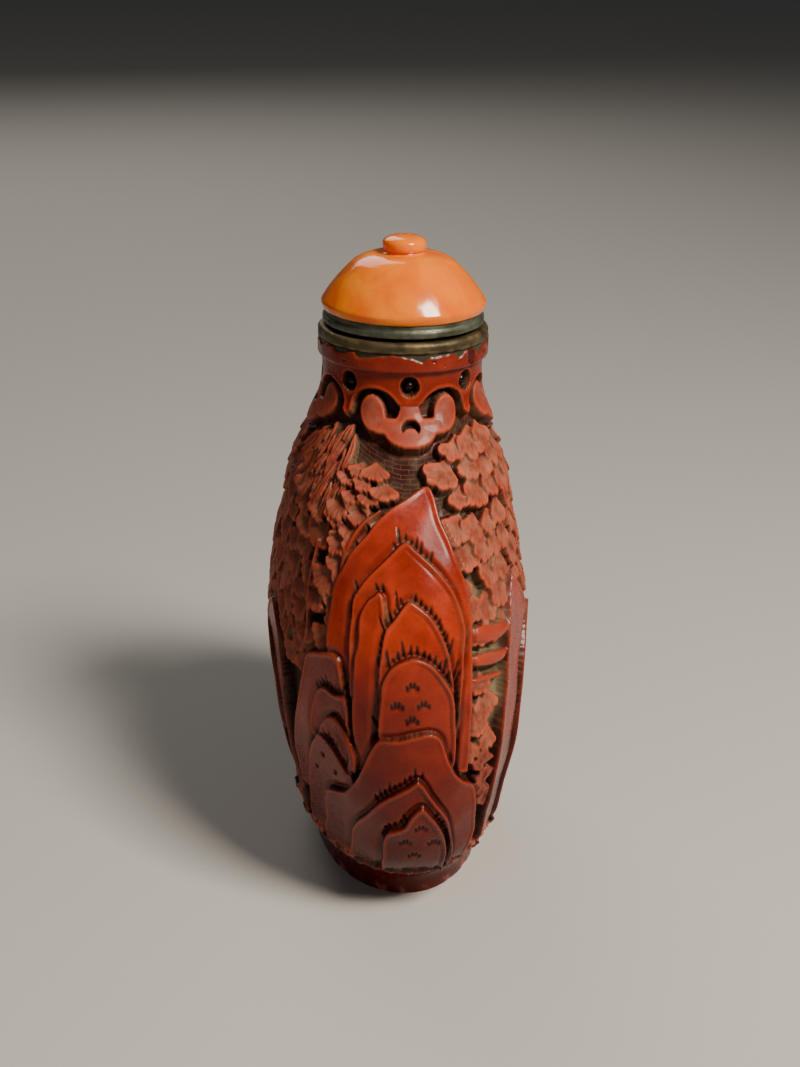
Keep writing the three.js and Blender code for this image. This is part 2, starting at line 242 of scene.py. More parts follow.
# A rock's outline runs from its left foot over its peak to its right foot, as (angle, height) places
# joined by a smooth curve. The plainer rocks on the hidden sides use peak, reaches and falls instead:
# a side spreads by reach * (1 - e^(-drop / fall)) where drop is the height below the peak.
# grass gives stretches of the outline, as shares of its length, along which short strokes stand.
rocks = [
    # the narrow end at the front, from the farthest rock to the nearest
    {"outline": [(-38, 20), (-38.5, 37.2), (-33, 42), (-22, 45.4), (-12.6, 47.4), (-3, 48.6), (5, 49.35),
                 (8.8, 49.2), (11, 48.2), (13.8, 46.1), (18.3, 43.7), (23, 40.8), (24.9, 38.2), (23.5, 33),
                 (22.3, 20)],
     "height": -0.02, "rim": 0.3},
    {"outline": [(-28.2, 20), (-28.8, 36.7), (-25.7, 40.3), (-15.2, 43), (-6, 44.8), (0.2, 44.1),
                 (10, 42.3), (17.4, 39.8), (20.9, 36.8), (19.5, 33.3), (17.7, 28), (16, 20)],
     "height": -0.05, "grass": [(0.3, 0.36), (0.475, 0.565)], "long": 1.9},
    {"outline": [(-27.5, 20), (-26.5, 32), (-25.2, 34.8), (-24.8, 37.6), (-20.6, 39.6), (-14, 38.5),
                 (-11, 20)],
     "height": -0.06, "rim": 0.2, "grass": [(0.5, 0.53)]},
    {"outline": [(-16.8, 20), (-16.6, 31.6), (-14.6, 36.2), (-10.6, 37.9), (-4.8, 39.7), (0.3, 39.2),
                 (7, 37.8), (11.6, 35.4), (14.4, 32), (15.5, 27), (15.2, 20)],
     "height": -0.05, "grass": [(0.3, 0.47), (0.51, 0.68), (0.74, 0.86)], "long": 2.3},
    {"outline": [(-17.2, 20), (-15.6, 29.3), (-14, 32), (-9.6, 33.6), (-2, 34.3), (4.7, 33.6), (10, 32.1),
                 (14, 30), (15.7, 26.3), (15.9, 20)],
     "height": 0.0, "grass": [(0.06, 0.2), (0.4, 0.66)], "long": 2.2,
     "tufts": [(-2.8, 31.1), (-8.9, 28.9), (1.9, 29.0), (-2.7, 27.3)]},
    {"outline": [(-63, 12), (-58.6, 20.6), (-53.5, 25.5), (-50.1, 29.6), (-47.6, 31.5), (-40, 32.6),
                 (-34.6, 32.9), (-31.8, 32), (-30, 29.4), (-28.3, 26), (-27, 20), (-26, 12)],
     "height": -0.05},
    {"outline": [(-54, 12), (-47.6, 21), (-47.4, 23.4), (-44.9, 26.3), (-41, 28.6), (-35, 28.5),
                 (-29, 28.3), (-27.5, 22), (-27, 12)],
     "height": -0.1, "grass": [(0.42, 0.62)]},
    {"outline": [(-56, 10), (-49.4, 19), (-46.5, 21), (-42.5, 23.4), (-36.4, 25.8), (-30.5, 25.1),
                 (-27, 23.4), (-25, 21.5), (-25.6, 20), (-28.5, 18), (-31, 10)],
     "height": -0.05, "rim": 1.6, "rimWidth": 0.8},
    {"outline": [(-60, 6.2), (-56.6, 12), (-50.1, 18.7), (-46, 21.4), (-42.5, 22.6), (-38, 22.2),
                 (-33.6, 20.9), (-30.2, 19.7), (-27.4, 18.2), (-29, 6.2)],
     "height": -0.12, "rim": 0.5, "dots": [(-42.5, 19.8), (-47.2, 17.4), (-36.7, 18.4)],
     "grass": [(0.5, 0.68)]},
    {"outline": [(-48, 5.8), (-46.2, 9.8), (-43.2, 14.2), (-41.2, 15.7), (-36, 16.4), (-30.4, 17.2),
                 (-26.2, 19), (-22.1, 21.5), (-18.4, 24), (-15.6, 25), (-9, 25.2), (-1, 25.8), (4.9, 26),
                 (9, 25.3), (11.4, 23.8), (15.2, 21), (20, 19.4), (25.9, 18.2), (28.2, 16.2), (31.6, 12.5),
                 (31.8, 9.4), (28, 5.8)],
     "height": 0.06, "rim": 0.35},
    {"outline": [(-33, 5.8), (-30.5, 10.9), (-27.7, 13), (-22, 15), (-14.1, 17.5), (-5, 19.3), (0.6, 20.3),
                 (5.9, 18.3), (10.8, 16.4), (15.4, 14.3), (18.6, 11.8), (20.4, 8.6), (20.4, 5.8)],
     "height": 0.06, "grass": [(0.36, 0.56)], "long": 1.6},
    {"outline": [(-16, 5.8), (-15.2, 10.6), (-13.2, 12.8), (-9.4, 13.4), (-5.6, 14), (-2, 15.7),
                 (2.8, 16.8), (6.6, 15.6), (10.8, 13.9), (15, 11.7), (16.6, 9.2), (16.8, 5.8)],
     "height": 0.1, "grass": [(0.24, 0.42), (0.62, 0.84)], "long": 1.1,
     "tufts": [(2.6, 13.6), (-4.4, 11.4), (9.5, 11.2), (0.3, 9.3)]},
    # the broad face on the right
    {"peak": 55, "z": 38.5, "left": 15.5, "leftFall": 6.0, "right": 20, "rightFall": 5.0, "rim": 0.4,
     "height": 0.0},
    {"peak": 74, "z": 32.5, "left": 18, "leftFall": 3.0, "right": 24, "rightFall": 4.0,
     "grass": [(0.28, 0.46), (0.52, 0.6)], "tufts": [(72, 27.0), (78, 24.5)]},
    {"peak": 112, "z": 26.5, "left": 26, "leftFall": 3.6, "right": 24, "rightFall": 3.0,
     "grass": [(0.3, 0.47), (0.53, 0.62)]},
    {"peak": 92, "z": 19.0, "left": 26, "leftFall": 4.0, "right": 22, "rightFall": 3.2,
     "grass": [(0.3, 0.46)], "tufts": [(90, 14.6), (97, 12.0), (84, 12.2)]},
    {"peak": 136, "z": 19.5, "left": 20, "leftFall": 3.0, "right": 20, "rightFall": 3.6,
     "grass": [(0.54, 0.7)]},
    # the broad face on the left
    {"peak": -76, "z": 33.0, "left": 16, "leftFall": 3.2, "right": 13, "rightFall": 2.6,
     "height": 0.1, "grass": [(0.56, 0.74)]},
    {"peak": -92, "z": 28.5, "left": 24, "leftFall": 4.0, "right": 20, "rightFall": 2.6,
     "grass": [(0.3, 0.46), (0.54, 0.62)], "tufts": [(-94, 23.5), (-88, 21.4)]},
    {"peak": -126, "z": 26.0, "left": 22, "leftFall": 3.2, "right": 24, "rightFall": 3.4,
     "grass": [(0.54, 0.7)]},
    {"peak": -106, "z": 18.6, "left": 24, "leftFall": 3.6, "right": 22, "rightFall": 3.4,
     "grass": [(0.32, 0.46), (0.54, 0.6)], "tufts": [(-107, 14.0), (-100, 11.8)]},
    {"peak": -74, "z": 17.2, "left": 20, "leftFall": 2.8, "right": 12, "rightFall": 3.0,
     "grass": [(0.3, 0.46)]},
    # the narrow end at the back, plainer
    {"peak": 174, "z": 47.0, "foot": 12, "left": 22, "leftFall": 4.6, "right": 36, "rightFall": 5.4,
     "rim": 0.3},
    {"peak": 184, "z": 41.0, "foot": 12, "left": 24, "leftFall": 3.0, "right": 22, "rightFall": 3.2,
     "grass": [(0.36, 0.46), (0.54, 0.62)]},
    {"peak": 178, "z": 33.5, "foot": 12, "left": 18, "leftFall": 2.6, "right": 20, "rightFall": 2.8,
     "grass": [(0.34, 0.46), (0.54, 0.64)], "tufts": [(178, 29.5), (172, 27.2), (184, 27.4)]},
    {"peak": 172, "z": 25.5, "left": 22, "leftFall": 2.0, "right": 30, "rightFall": 3.4},
    {"peak": 182, "z": 18.5, "left": 30, "leftFall": 4.4, "right": 22, "rightFall": 3.2,
     "grass": [(0.36, 0.47), (0.54, 0.62)], "tufts": [(181, 14.2), (176, 12.0)]},
]
rockFinish = {
    "foot": 5.8,                        # where a rock starts unless it has a foot of its own
    "fall": 0.5, "fallLength": 1.5,     # the top sinks this far from its edge towards its middle
    "edge": 0.3,                        # rounding of the outer edge
    "rim": 0.13, "rimWidth": 0.34,      # the raised bead along the edge
    "beadAt": 0.9, "beadWidth": 0.55, "grooveAt": 2.1, "grooveWidth": 0.45,    # shares of the rim's width
    "grooveDepth": 0.7,                 # the groove inside the bead, as a share of the bead's height
    "unevenness": 0.045,
    "moat": 0.3, "moatWidth": 1.0,      # how the rock behind is cut down beside it
    "moatDirtAndShade": 0.85, "moatDirtAndShadeWidth": 0.1,     # the dark line in the moat: dirt and painted shade
    "strokeGap": 0.72, "strokeFoot": 0.18,
}


def onChart(angles, heights, column):
    # mm across from a column of the grid and mm up the surface, for places given by degrees and height
    row = np.clip(np.searchsorted(rowZ, heights), 0, relief["rows"] - 1)
    edges = np.append(columnAngle, firstAngle + 2 * np.pi)
    place = np.interp(gridTurn(angles), edges, np.arange(columnCount + 1))
    low = np.floor(place).astype(int)
    before, after = fullArc[row, low], fullArc[row, np.minimum(low + 1, columnCount)]
    across = shortWay(before + (place - low) * (after - before) - arc[row, column], girth[row])
    return across, np.interp(heights, rowZ, path[:, column])


def runAlong(x, y):
    # the length along a chain of straight steps, up to each of its places
    return np.concatenate([[0], np.cumsum(np.hypot(np.diff(x), np.diff(y)))])


def curveThrough(places, steps):
    # the angles and heights along a smooth curve through a few (angle, height) places
    places = np.array(places, float)
    fine = np.linspace(0, len(places) - 1, steps * (len(places) - 1) + 1)
    return [hermite(fine, np.arange(len(places)), places[:, k]) for k in (0, 1)]


def awayFromLine(across, up, x, y):
    # distance to a chain of straight steps, and how far along the chain the nearest place is, from 0 to 1
    best = np.full(across.shape, 99.0)
    share = np.zeros_like(across)
    run = runAlong(x, y)
    for k in range(len(x) - 1):
        dx, dy = x[k + 1] - x[k], y[k + 1] - y[k]
        t = np.clip(((across - x[k]) * dx + (up - y[k]) * dy) / (dx * dx + dy * dy + 1e-9), 0, 1)
        away = np.hypot(across - x[k] - t * dx, up - y[k] - t * dy)
        closer = away < best
        best = np.where(closer, away, best)
        share = np.where(closer, (run[k] + t * (run[k + 1] - run[k])) / run[-1], share)
    return best, share


def enclosed(across, up, x, y):
    # even-odd rule: an odd number of outline steps crosses the line running right from the cell
    inside = np.zeros(across.shape, bool)
    for k in range(len(x)):
        x0, y0, x1, y1 = x[k - 1], y[k - 1], x[k], y[k]
        if y0 == y1:
            continue
        crosses = ((y0 > up) != (y1 > up)) & (across < x0 + (up - y0) * (x1 - x0) / (y1 - y0))
        inside ^= crosses
    return inside


def rockOutline(rock):
    # from the left foot over the peak to the right foot, in degrees and mm
    if "outline" in rock:
        return curveThrough(rock["outline"], 5)
    drop = (rock["z"] - rock.get("foot", rockFinish["foot"])) * np.linspace(1, 0, 28) ** 2
    left = rock["peak"] - rock["left"] * (1 - np.exp(-drop / rock["leftFall"]))
    right = rock["peak"] + rock["right"] * (1 - np.exp(-drop[:-1][::-1] / rock["rightFall"]))
    heights = rock["z"] - drop
    return np.concatenate([left, right]), np.concatenate([heights, heights[:-1][::-1]])


def carveRock(rock, index):
    # top = height - fall * (1 - e^(-inside / length)), with a bead along the edge, stronger on the right
    f = rockFinish
    angles, heights = rockOutline(rock)
    column = columnAt(np.mean(angles))
    x, y = onChart(angles, heights, column)
    x = x + 0.05 * np.sin(1.3 * y + index)    # no side is quite true
    beyond = 1.6                              # room for the moat, in mm
    row0, row1 = np.searchsorted(rowZ, [heights.min() - 0.2, heights.max() + beyond])
    rows = np.arange(max(0, row0), min(relief["rows"], row1))
    across = shortWay(arc[rows] - arc[rows, column][:, None], girth[rows][:, None])
    columns = np.where(np.abs(across).min(0) < np.abs(x).max() + beyond)[0]
    across = across[:, columns]
    where = np.ix_(rows, columns)
    up = np.broadcast_to(path[rows, column][:, None], across.shape)
    away, share = awayFromLine(across, up, x, y)
    inside = np.where(enclosed(across, up, x, y), away, -away)
    soft = inside.copy()
    for _ in range(2):    # each cell becomes the mean of itself and the cells four away on each side
        middle = soft[4:-4, 4:-4]
        soft[4:-4, 4:-4] = (middle + soft[:-8, 4:-4] + soft[8:, 4:-4] + soft[4:-4, :-8] + soft[4:-4, 8:]) / 5
    rightness = smooth((share - 0.42) / 0.2)
    rimWidth = rock.get("rimWidth", f["rimWidth"])
    bead = np.exp(-((inside - rimWidth * f["beadAt"]) / (rimWidth * f["beadWidth"])) ** 2)
    groove = np.exp(-((inside - rimWidth * f["grooveAt"]) / (rimWidth * f["grooveWidth"])) ** 2)
    rim = rock.get("rim", 1.0) * f["rim"] * (0.3 + 0.7 * rightness)
    height = rock.get("height", 0.0) - f["fall"] * (1 - np.exp(-np.clip(soft, 0, None) / f["fallLength"]))
    height += rim * (bead - f["grooveDepth"] * groove) + f["unevenness"] * wander(60 + index, 6, 5)[where]
    height -= roundedEdge(inside, f["edge"])
    on = inside > 0
    beside = (inside <= 0) & (ground[where] < 0.5)
    old = lift[where]
    moat = f["moat"] * (1 - smooth(-inside / (f["moatWidth"] * (1.15 - 0.5 * rightness))))
    lift[where] = np.where(on, height, old - np.where(beside, moat, 0))
    for layer in (matte, cut, ground):
        layer[where] = np.where(on, 0, layer[where])
    # dirt and painted shade: a dark line just outside the rock's edge
    moatDirtAndShade = f["moatDirtAndShade"] * np.exp(-(np.clip(-inside, 0, None) / f["moatDirtAndShadeWidth"]) ** 2)
    dirtAndShade[where] = np.where(on, 0, np.maximum(dirtAndShade[where] * (inside < -f["moatDirtAndShadeWidth"]), moatDirtAndShade))
    for start, stop in rock.get("grass", []):
        growGrass(angles, heights, x, y, start, stop, rock.get("long", 1.4), index)
    for angle, z in rock.get("tufts", []):
        tuft(angle, z)
    for angle, z in rock.get("dots", []):
        pit(angle, z, 0.36, 0.32)


def stroke(angle, z, lean, length, width=0.12, depth=0.26):
    # a tapering groove from its foot, lean degrees from straight up: depth * e^(-(side / half width)^2)
    where, across, up = near(angle, z, length + 0.4)
    c, s = math.cos(math.radians(lean)), math.sin(math.radians(lean))
    along = across * s + up * c
    side = across * c - up * s
    t = along / length
    half = width * np.clip(1 - 0.55 * t, 0.42, 1)
    ends = smooth((t + 0.1) / 0.14) * smooth((1.08 - t) / 0.25)
    deep = np.exp(-(side / half) ** 2) * ends
    lift[where] -= depth * deep
    cut[where] = np.maximum(cut[where], np.clip(deep * 1.25, 0, 1))


def growGrass(angles, heights, x, y, start, stop, long, index):
    # upright strokes stand along a stretch of the outline, a fixed distance apart
    dice = np.random.default_rng(100 + index * 7 + int(start * 100))
    run = runAlong(x, y)
    for place in np.arange(start * run[-1], stop * run[-1], rockFinish["strokeGap"]):
        place += dice.uniform(-0.07, 0.07)
        rise = np.interp(place + 0.3, run, y) - np.interp(place - 0.3, run, y)
        lean = -math.degrees(math.asin(np.clip(rise / 0.6, -1, 1))) * 0.22
        tall = long * dice.uniform(0.8, 1.0) if dice.random() < 0.22 else dice.uniform(0.45, 1.15)
        foot = np.interp(place, run, heights) + rockFinish["strokeFoot"]
        stroke(np.interp(place, run, angles), foot, lean + dice.uniform(-5, 5), tall)


def tuft(angle, z):
    # a small fan of four strokes, the outer ones lower, shorter and leaning out
    apart, lower, lean, length, shorter, width = 0.34, 0.22, 9, 0.8, 0.14, 0.17
    scale = perRadian(math.radians(angle), z)
    for aside in (-1.5, -0.5, 0.5, 1.5):
        stroke(angle + math.degrees(aside * apart / scale), z - lower * abs(aside), aside * lean,
               length - shorter * abs(aside), width)


def pit(angle, z, radius, depth):
    # a round hollow: depth times a smooth step from its edge
    where, across, up = near(angle, z, radius * 2)
    inside = smooth(np.clip(1 - np.hypot(across, up) / radius, 0, 1) * 1.6)
    lift[where] -= depth * inside
    cut[where] = np.maximum(cut[where], inside * 0.8)


def lay(where, on, height, dullness, scar=0.0):
    # puts a raised shape on the grid where it is on
    for layer, value in ((lift, height), (matte, dullness), (cut, scar), (ground, 0.0), (dirtAndShade, 0.0)):
        layer[where] = np.where(on, value, layer[where])


leafShape = {
    "stemBack": 0.15, "wedgeOut": 0.12,    # how far the stem lies behind, and the wedge spreads, by size
    "lobe": 0.52,                          # radius of a lobe, as a share of the fan's width to a lobe
    "veinWidth": 0.07, "notchWidth": 0.08, "veinDepth": 0.07, "veinFrom": 0.35,
    "tilt": 0.12, "edge": 0.1,
}


def leaf(angle, z, turn, size, lobes, spread, rest, rise, seed, dullness=1.0):
    # a flat fan from its stem that ends in round lobes: the union of a wedge and of one disc to a lobe,
    # rising to its tips, with a fine vein from the stem to each notch and to the middle of some lobes
    shape = leafShape
    dice = np.random.default_rng(seed)
    where, across, up = near(angle, z, size * 1.15)
    c, s = math.cos(math.radians(turn)), math.sin(math.radians(turn))
    along = across * s - up * c + shape["stemBack"] * size
    side = across * c + up * s
    away = np.hypot(along, side)
    bearing = np.arctan2(side, along)
    fan = math.radians(spread)
    radius = size * fan / lobes * shape["lobe"]
    wedge = away * np.sin(np.clip(fan * 0.5 - np.abs(bearing), -1.5, 1.5)) + shape["wedgeOut"] * size
    inside = np.minimum(wedge, size - radius - away)
    veins = np.zeros_like(away)
    for k in range(lobes):
        toward = fan * ((k + 0.5) / lobes - 0.5) + dice.uniform(-0.04, 0.04)
        reach = size * dice.uniform(0.9, 1.06) * (1 - 0.1 * abs(2 * (k + 0.5) / lobes - 1)) - radius
        lobeRadius = radius * dice.uniform(0.92, 1.12)
        disc = lobeRadius - np.hypot(along - reach * math.cos(toward), side - reach * math.sin(toward))
        inside = np.maximum(inside, disc)
        veined = 0.9 if dice.random() < 0.5 else 0.0
        line = veined * np.exp(-((bearing - toward) * away / shape["veinWidth"]) ** 2)
        notch = np.exp(-((bearing - toward - fan / lobes / 2) * away / shape["notchWidth"]) ** 2)
        veins = np.maximum(veins, np.maximum(line, notch * (k < lobes - 1)))
    veins *= smooth((away / size - shape["veinFrom"]) / 0.2)
    height = rest + rise * smooth(away / size) + dice.uniform(-shape["tilt"], shape["tilt"]) * side / size
    height -= roundedEdge(inside, shape["edge"]) + shape["veinDepth"] * veins
    lay(where, inside > 0, height, dullness, 0.3 * veins)


def blade(angle, z, lean, length, width, rest, rise, dullness):
    # a narrow pointed leaf hanging from its stem: half width = width * sin(pi * t^0.7), bowed a little,
    # with a flat top, a soft ridge along its middle and fine scratches along it
    where, across, up = near(angle, z, length + 0.3)
    c, s = math.cos(math.radians(lean)), math.sin(math.radians(lean))
    t = (across * s - up * c) / length
    side = across * c + up * s + 0.25 * length * (np.clip(t, 0, 1) - 0.5) ** 2
    half = width * np.sin(np.pi * np.clip(t, 0.001, 0.999) ** 0.7) + 1e-6
    inside = np.where((t > 0) & (t < 1), half - np.abs(side), -1)
    tilt, edge, scratchWidth, scratchDepth, coverDepth = 0.1, 0.1, 0.06, 0.08, 0.3
    height = rest + rise * t - tilt * (side / width) - roundedEdge(inside, edge)
    scratch = np.exp(-(side / scratchWidth) ** 2) * smooth(t / 0.2) * smooth((0.9 - t) / 0.2)
    on = (inside > 0) & (height > lift[where] - coverDepth)
    lay(where, on, height - scratchDepth * scratch, dullness, 0.5 * scratch)


def strand(points, halfWidth, rest, ridge, dullness=0.6):
    # a rounded branch along a smooth curve through a few (angle, z) places
    longest = 9.5    # reach from its middle, in mm
    angles, heights = curveThrough(points, 10)
    middle = len(angles) // 2
    where, across, up = near(angles[middle], heights[middle], longest)
    x, y = onChart(angles, heights, columnAt(angles[middle]))
    away, share = awayFromLine(across, up, x - x[middle], y - y[middle])
    half = halfWidth * (0.5 + 0.5 * np.sin(np.pi * np.clip(share * 0.9 + 0.1, 0, 1)))
    inside = half - away
    height = rest + ridge * np.clip(inside / half, 0, 1) ** 0.6 - roundedEdge(inside, 0.12)
    lay(where, (inside > 0) & (height > lift[where]), height, dullness)


# The cloud collar: four lappets of three lobes under the neck, and the neck band that arches over them.
collar = {
    "middle": 53.9,        # height of a lappet's pierced crescent
    "lobe": (4.05, 1.45, 1.5, 2.15),     # across, up, half width and half height of a side lobe
    "tip": (0.0, -0.45, 2.9, 1.95),
    "bridge": (4.0, -0.8, 1.35),          # half width, lowest and highest place
    "neck": (1.0, 2.5),                 # half width and top
    "arch": (3.8, 1.25, 2.75),           # centre across and up, and radius, of the band's lower edge
    "tab": (0.6, 0.9),                   # lowest place of the hanging tab and its slope
    "bossHeight": 58.05, "bosses": 8, "bossRadius": 0.98,      # round hollows with a bead in each
    "beadTop": -0.15, "beadRound": 0.35, "beadRadius": 0.6, "bowlDepth": 0.85, "collarRing": 0.07,
    "ledge": -0.55,                      # the sunk edge round each lappet
}


def oval(u, v, shape):
    # distance inside an ellipse, as a share of its radius times the smaller half axis
    across, up, halfWidth, halfHeight = shape
    return (1 - np.hypot((u - across) / halfWidth, (v - up) / halfHeight)) * min(halfWidth, halfHeight)


def carveCollar():
    # u and v run across and up from the middle of the nearest lappet, in mm; a lappet is the union of its
    # ovals, bridge and neck, and the band lies above the arches, each cut round its own distance field
    c = collar
    quarter = girth[:, None] / 4
    u = shortWay(arc - fromFront, quarter)
    measured = np.arange(0, columnCount, 8)
    middle = np.array([np.interp(c["middle"], rowZ, path[:, column]) for column in measured])
    v = path - np.interp(np.arange(columnCount), measured, middle)
    side = np.abs(u)
    lappet = np.maximum(oval(side, v, c["lobe"]), oval(u, v, c["tip"]))
    halfWidth, low, high = c["bridge"]
    lappet = np.maximum(lappet, np.minimum(halfWidth - side, np.minimum(v - low, high - v)))
    neckHalf = c["neck"][0] + 0.55 * np.exp(-np.clip(v - high, 0, None) / 0.7)
    lappet = np.maximum(lappet, np.minimum(neckHalf - side, np.minimum(v, c["neck"][1] + 0.3 - v)))
    crescent = np.minimum(1.0 - np.hypot(u - 0.05, v), np.hypot(u, v + 0.5) - 0.72)
    archAcross, archUp, archRadius = c["arch"]
    arch = np.hypot(side - archAcross, v - archUp) - archRadius
    tabDistance = quarter / 2 - side
    tabLow, tabSlope = c["tab"]
    band = np.where(v > archUp, arch, np.minimum(arch, v - tabLow - tabSlope * tabDistance))
    band = np.minimum(band, v - np.where(side < archAcross, c["neck"][1], tabLow + tabSlope * tabDistance))
    hollow = (v > -3.4) & (lappet > c["ledge"]) | ((v > 0.5) & (band <= 0) & (band > -4))
    lift[hollow] = np.minimum(lift, -form["carveDepth"])[hollow]
    for layer in (matte, cut):
        layer[hollow] = 0
    ground[hollow] = 0.6
    on = lappet > 0
    height = 0.05 - roundedEdge(lappet, 0.3) + 0.1 * smooth(lappet / 1.2)
    lift[on] = height[on]
    matte[on] = 0.45
    ground[on] = 0
    pierced = on & (crescent > 0)
    lift[pierced] = (lift - 0.95 * smooth(crescent / 0.16) * smooth((v + 0.7) / 0.9))[pierced]
    cut[pierced] = smooth(crescent / 0.2)[pierced]
    on = (band > 0) & (v > tabLow)
    height = 0.02 - roundedEdge(band, 0.22) + 0.1 * np.exp(-((band - 0.3) / 0.16) ** 2)
    lift[on] = height[on]
    for layer in (matte, cut, ground):
        layer[on] = 0
    for k in range(c["bosses"]):
        where, across, up = near(k * 360 / c["bosses"], c["bossHeight"], 1.4)
        away = np.hypot(across, up)
        radius = c["bossRadius"]
        bead = c["beadTop"] - c["beadRound"] * (away / c["beadRadius"]) ** 2
        bowl = np.where(away < c["beadRadius"] + 0.02, bead, -c["bowlDepth"])
        lift[where] = np.where(away < radius, np.minimum(lift[where], bowl), lift[where])
        lift[where] += c["collarRing"] * np.exp(-((away - radius - 0.12) / 0.1) ** 2)
        cut[where] = np.maximum(cut[where], smooth((radius - away) / 0.1))


# The foot and its border: a scalloped groove runs round above the smooth foot.
border = {
    "height": 6.0, "sideRise": 0.9,    # the line climbs a little towards the broad faces
    "pitch": 1.85, "rise": 0.42, "groove": 0.16, "depth": 0.28,
    "step": 0.22, "wornDepth": 0.25, "rubbedDepth": 0.06,
}


def carveBorder():
    # the line: height + side rise * sin(angle)^2 + rise * (1 - |sin(pi * arc / pitch)|)
    b = border
    level = b["height"] + b["sideRise"] * np.sin(gridAngle) ** 2
    scallops = level + b["rise"] * (1 - np.abs(np.sin(np.pi * arc / b["pitch"])))
    away = (gridZ - scallops) * pathPerZ
    below = gridZ < level + np.where(ground > 0.5, 0.6, 0.0)
    lift[below] = 0.03 * wander(8, 8, 3)[below]
    for layer in (matte, cut, ground, dirtAndShade):
        layer[below] = 0
    groove = np.exp(-(away / b["groove"]) ** 2)
    lift[:] -= b["depth"] * groove - b["step"] * np.exp(-((away + 0.34) / 0.2) ** 2)
    cut[:] = np.maximum(cut, 0.7 * groove)
    worn = smooth((wander(12, 3.5, 1.6) + 0.5) / 0.5) * np.exp(-((gridZ - level + 0.3) / 1.0) ** 2)
    worn *= smooth((np.abs(np.sin(gridAngle)) - 0.3) / 0.3)
    rubbed = smooth((wander(13, 5, 4) - 0.1) / 0.5) * smooth((0.9 - gridZ + 0.4 * wander(14, 2.5, 3)) / 0.4)
    lift[:] -= b["wornDepth"] * worn + b["rubbedDepth"] * rubbed
    chip[:] = np.maximum(np.maximum(chip, worn), 0.8 * rubbed)


# Foliage: rows of leaves, laid from the lowest row up so that each row's tips hang over the next.
# A grove runs between two angles and two heights; rows and leaves stand row and apart mm from each other.
groves = [
    # the tree left of the front rocks, its leaves drooping to the lower left
    {"from": -86, "to": -15, "low": 29.0, "high": 48.5, "row": 2.0, "apart": 3.5, "turn": -28, "size": 3.1,
     "spread": 96, "rest": -0.85, "rise": 0.7, "dull": 0.9, "gaps": 0.08},
    # the trees on the right, flat-topped
    {"from": 21, "to": 90, "low": 35.0, "high": 53.5, "turn": -22},
    {"from": 23, "to": 37, "low": 22.0, "high": 31.0, "row": 2.3, "apart": 3.1, "turn": -14, "size": 3.1,
     "spread": 96, "rest": -0.7, "rise": 0.5, "gaps": 0.08},
    # the trees on the hidden sides
    {"from": 90, "to": 150, "low": 28.0, "high": 52.5, "turn": 20, "dull": 0.95},
    {"from": -152, "to": -86, "low": 27.0, "high": 52.5, "turn": -20, "rest": -0.6, "dull": 0.95},
    {"from": -180, "to": -150, "low": 32.0, "high": 49.5, "apart": 3.3, "turn": 16, "size": 3.2,
     "spread": 98, "dull": 0.95},
]
commonGrove = {"row": 2.4, "apart": 3.4, "size": 3.4, "lobes": 4, "spread": 100, "rest": -0.65, "rise": 0.55,
               "dull": 1.0, "gaps": 0.07}
# the nearest boughs of the left tree, laid over the willow
nearGrove = {"from": -38, "to": -12, "low": 42.5, "high": 50.4, "row": 1.4, "apart": 2.6, "turn": -14,
             "size": 2.35, "rest": -0.75, "rise": 0.65, "dull": 0.9, "gaps": 0.0}


def plantGrove(grove, index):
    # every other row is set off by half a step, and each leaf is a little out of its place
    grove = {**commonGrove, **grove}
    dice = np.random.default_rng(500 + index)
    middle = math.radians((grove["from"] + grove["to"]) / 2)
    for row, z in enumerate(np.arange(grove["low"], grove["high"], grove["row"])):
        scale = math.radians(perRadian(middle, z))
        step = grove["apart"] / scale
        for angle in np.arange(grove["from"] + (row % 2) * step / 2, grove["to"], step):
            aside, raised, turned = dice.uniform(-0.5, 0.5), dice.uniform(-0.4, 0.4), dice.uniform(-20, 20)
            size = grove["size"] * dice.uniform(0.85, 1.12)
            lobes = grove["lobes"] + int(dice.integers(-1, 2))
            low, seed = dice.uniform(-0.12, 0.12), int(dice.integers(1 << 30))
            if dice.random() > grove["gaps"]:
                leaf(angle + aside / scale, z + raised + 1.4, grove["turn"] + turned, size, lobes,
                     grove["spread"], grove["rest"] + low, grove["rise"], seed, grove["dull"])


# Branches and ledges: (angle, z) places, half width, top and roundness.
branches = [
    ([(-62, 44.0), (-68, 39.0), (-71, 34.0), (-69, 29.0)], 0.8, -0.6, 0.4),
    ([(100, 45.0), (106, 40.0), (104, 34.0), (110, 28.0)], 0.8, -0.6, 0.4),
    ([(-118, 46.0), (-112, 40.0), (-115, 34.0), (-110, 27.0)], 0.8, -0.6, 0.4),
]
frontBranches = [
    ([(-17, 47.2), (-24, 46.0), (-30, 44.2), (-34.5, 41.8), (-36, 38.5), (-37, 34.0)], 0.34, -0.2, 0.2),
    ([(-48, 43.0), (-50.5, 38.6), (-49, 34.6), (-50, 31.5)], 0.3, -0.35, 0.3),
    ([(-58, 40.0), (-60, 36.0), (-57, 32.0)], 0.3, -0.4, 0.3),
]
ledges = [
    ([(21, 35.6), (29, 35.3), (37, 34.6), (46, 34.2)], 1.0, -0.15, 0.3),
    ([(21, 32.9), (29, 32.5), (37, 31.9), (46, 31.4)], 0.85, -0.3, 0.3),
    ([(23, 30.6), (31, 30.2), (41, 29.5)], 0.5, -0.55, 0.25),
]


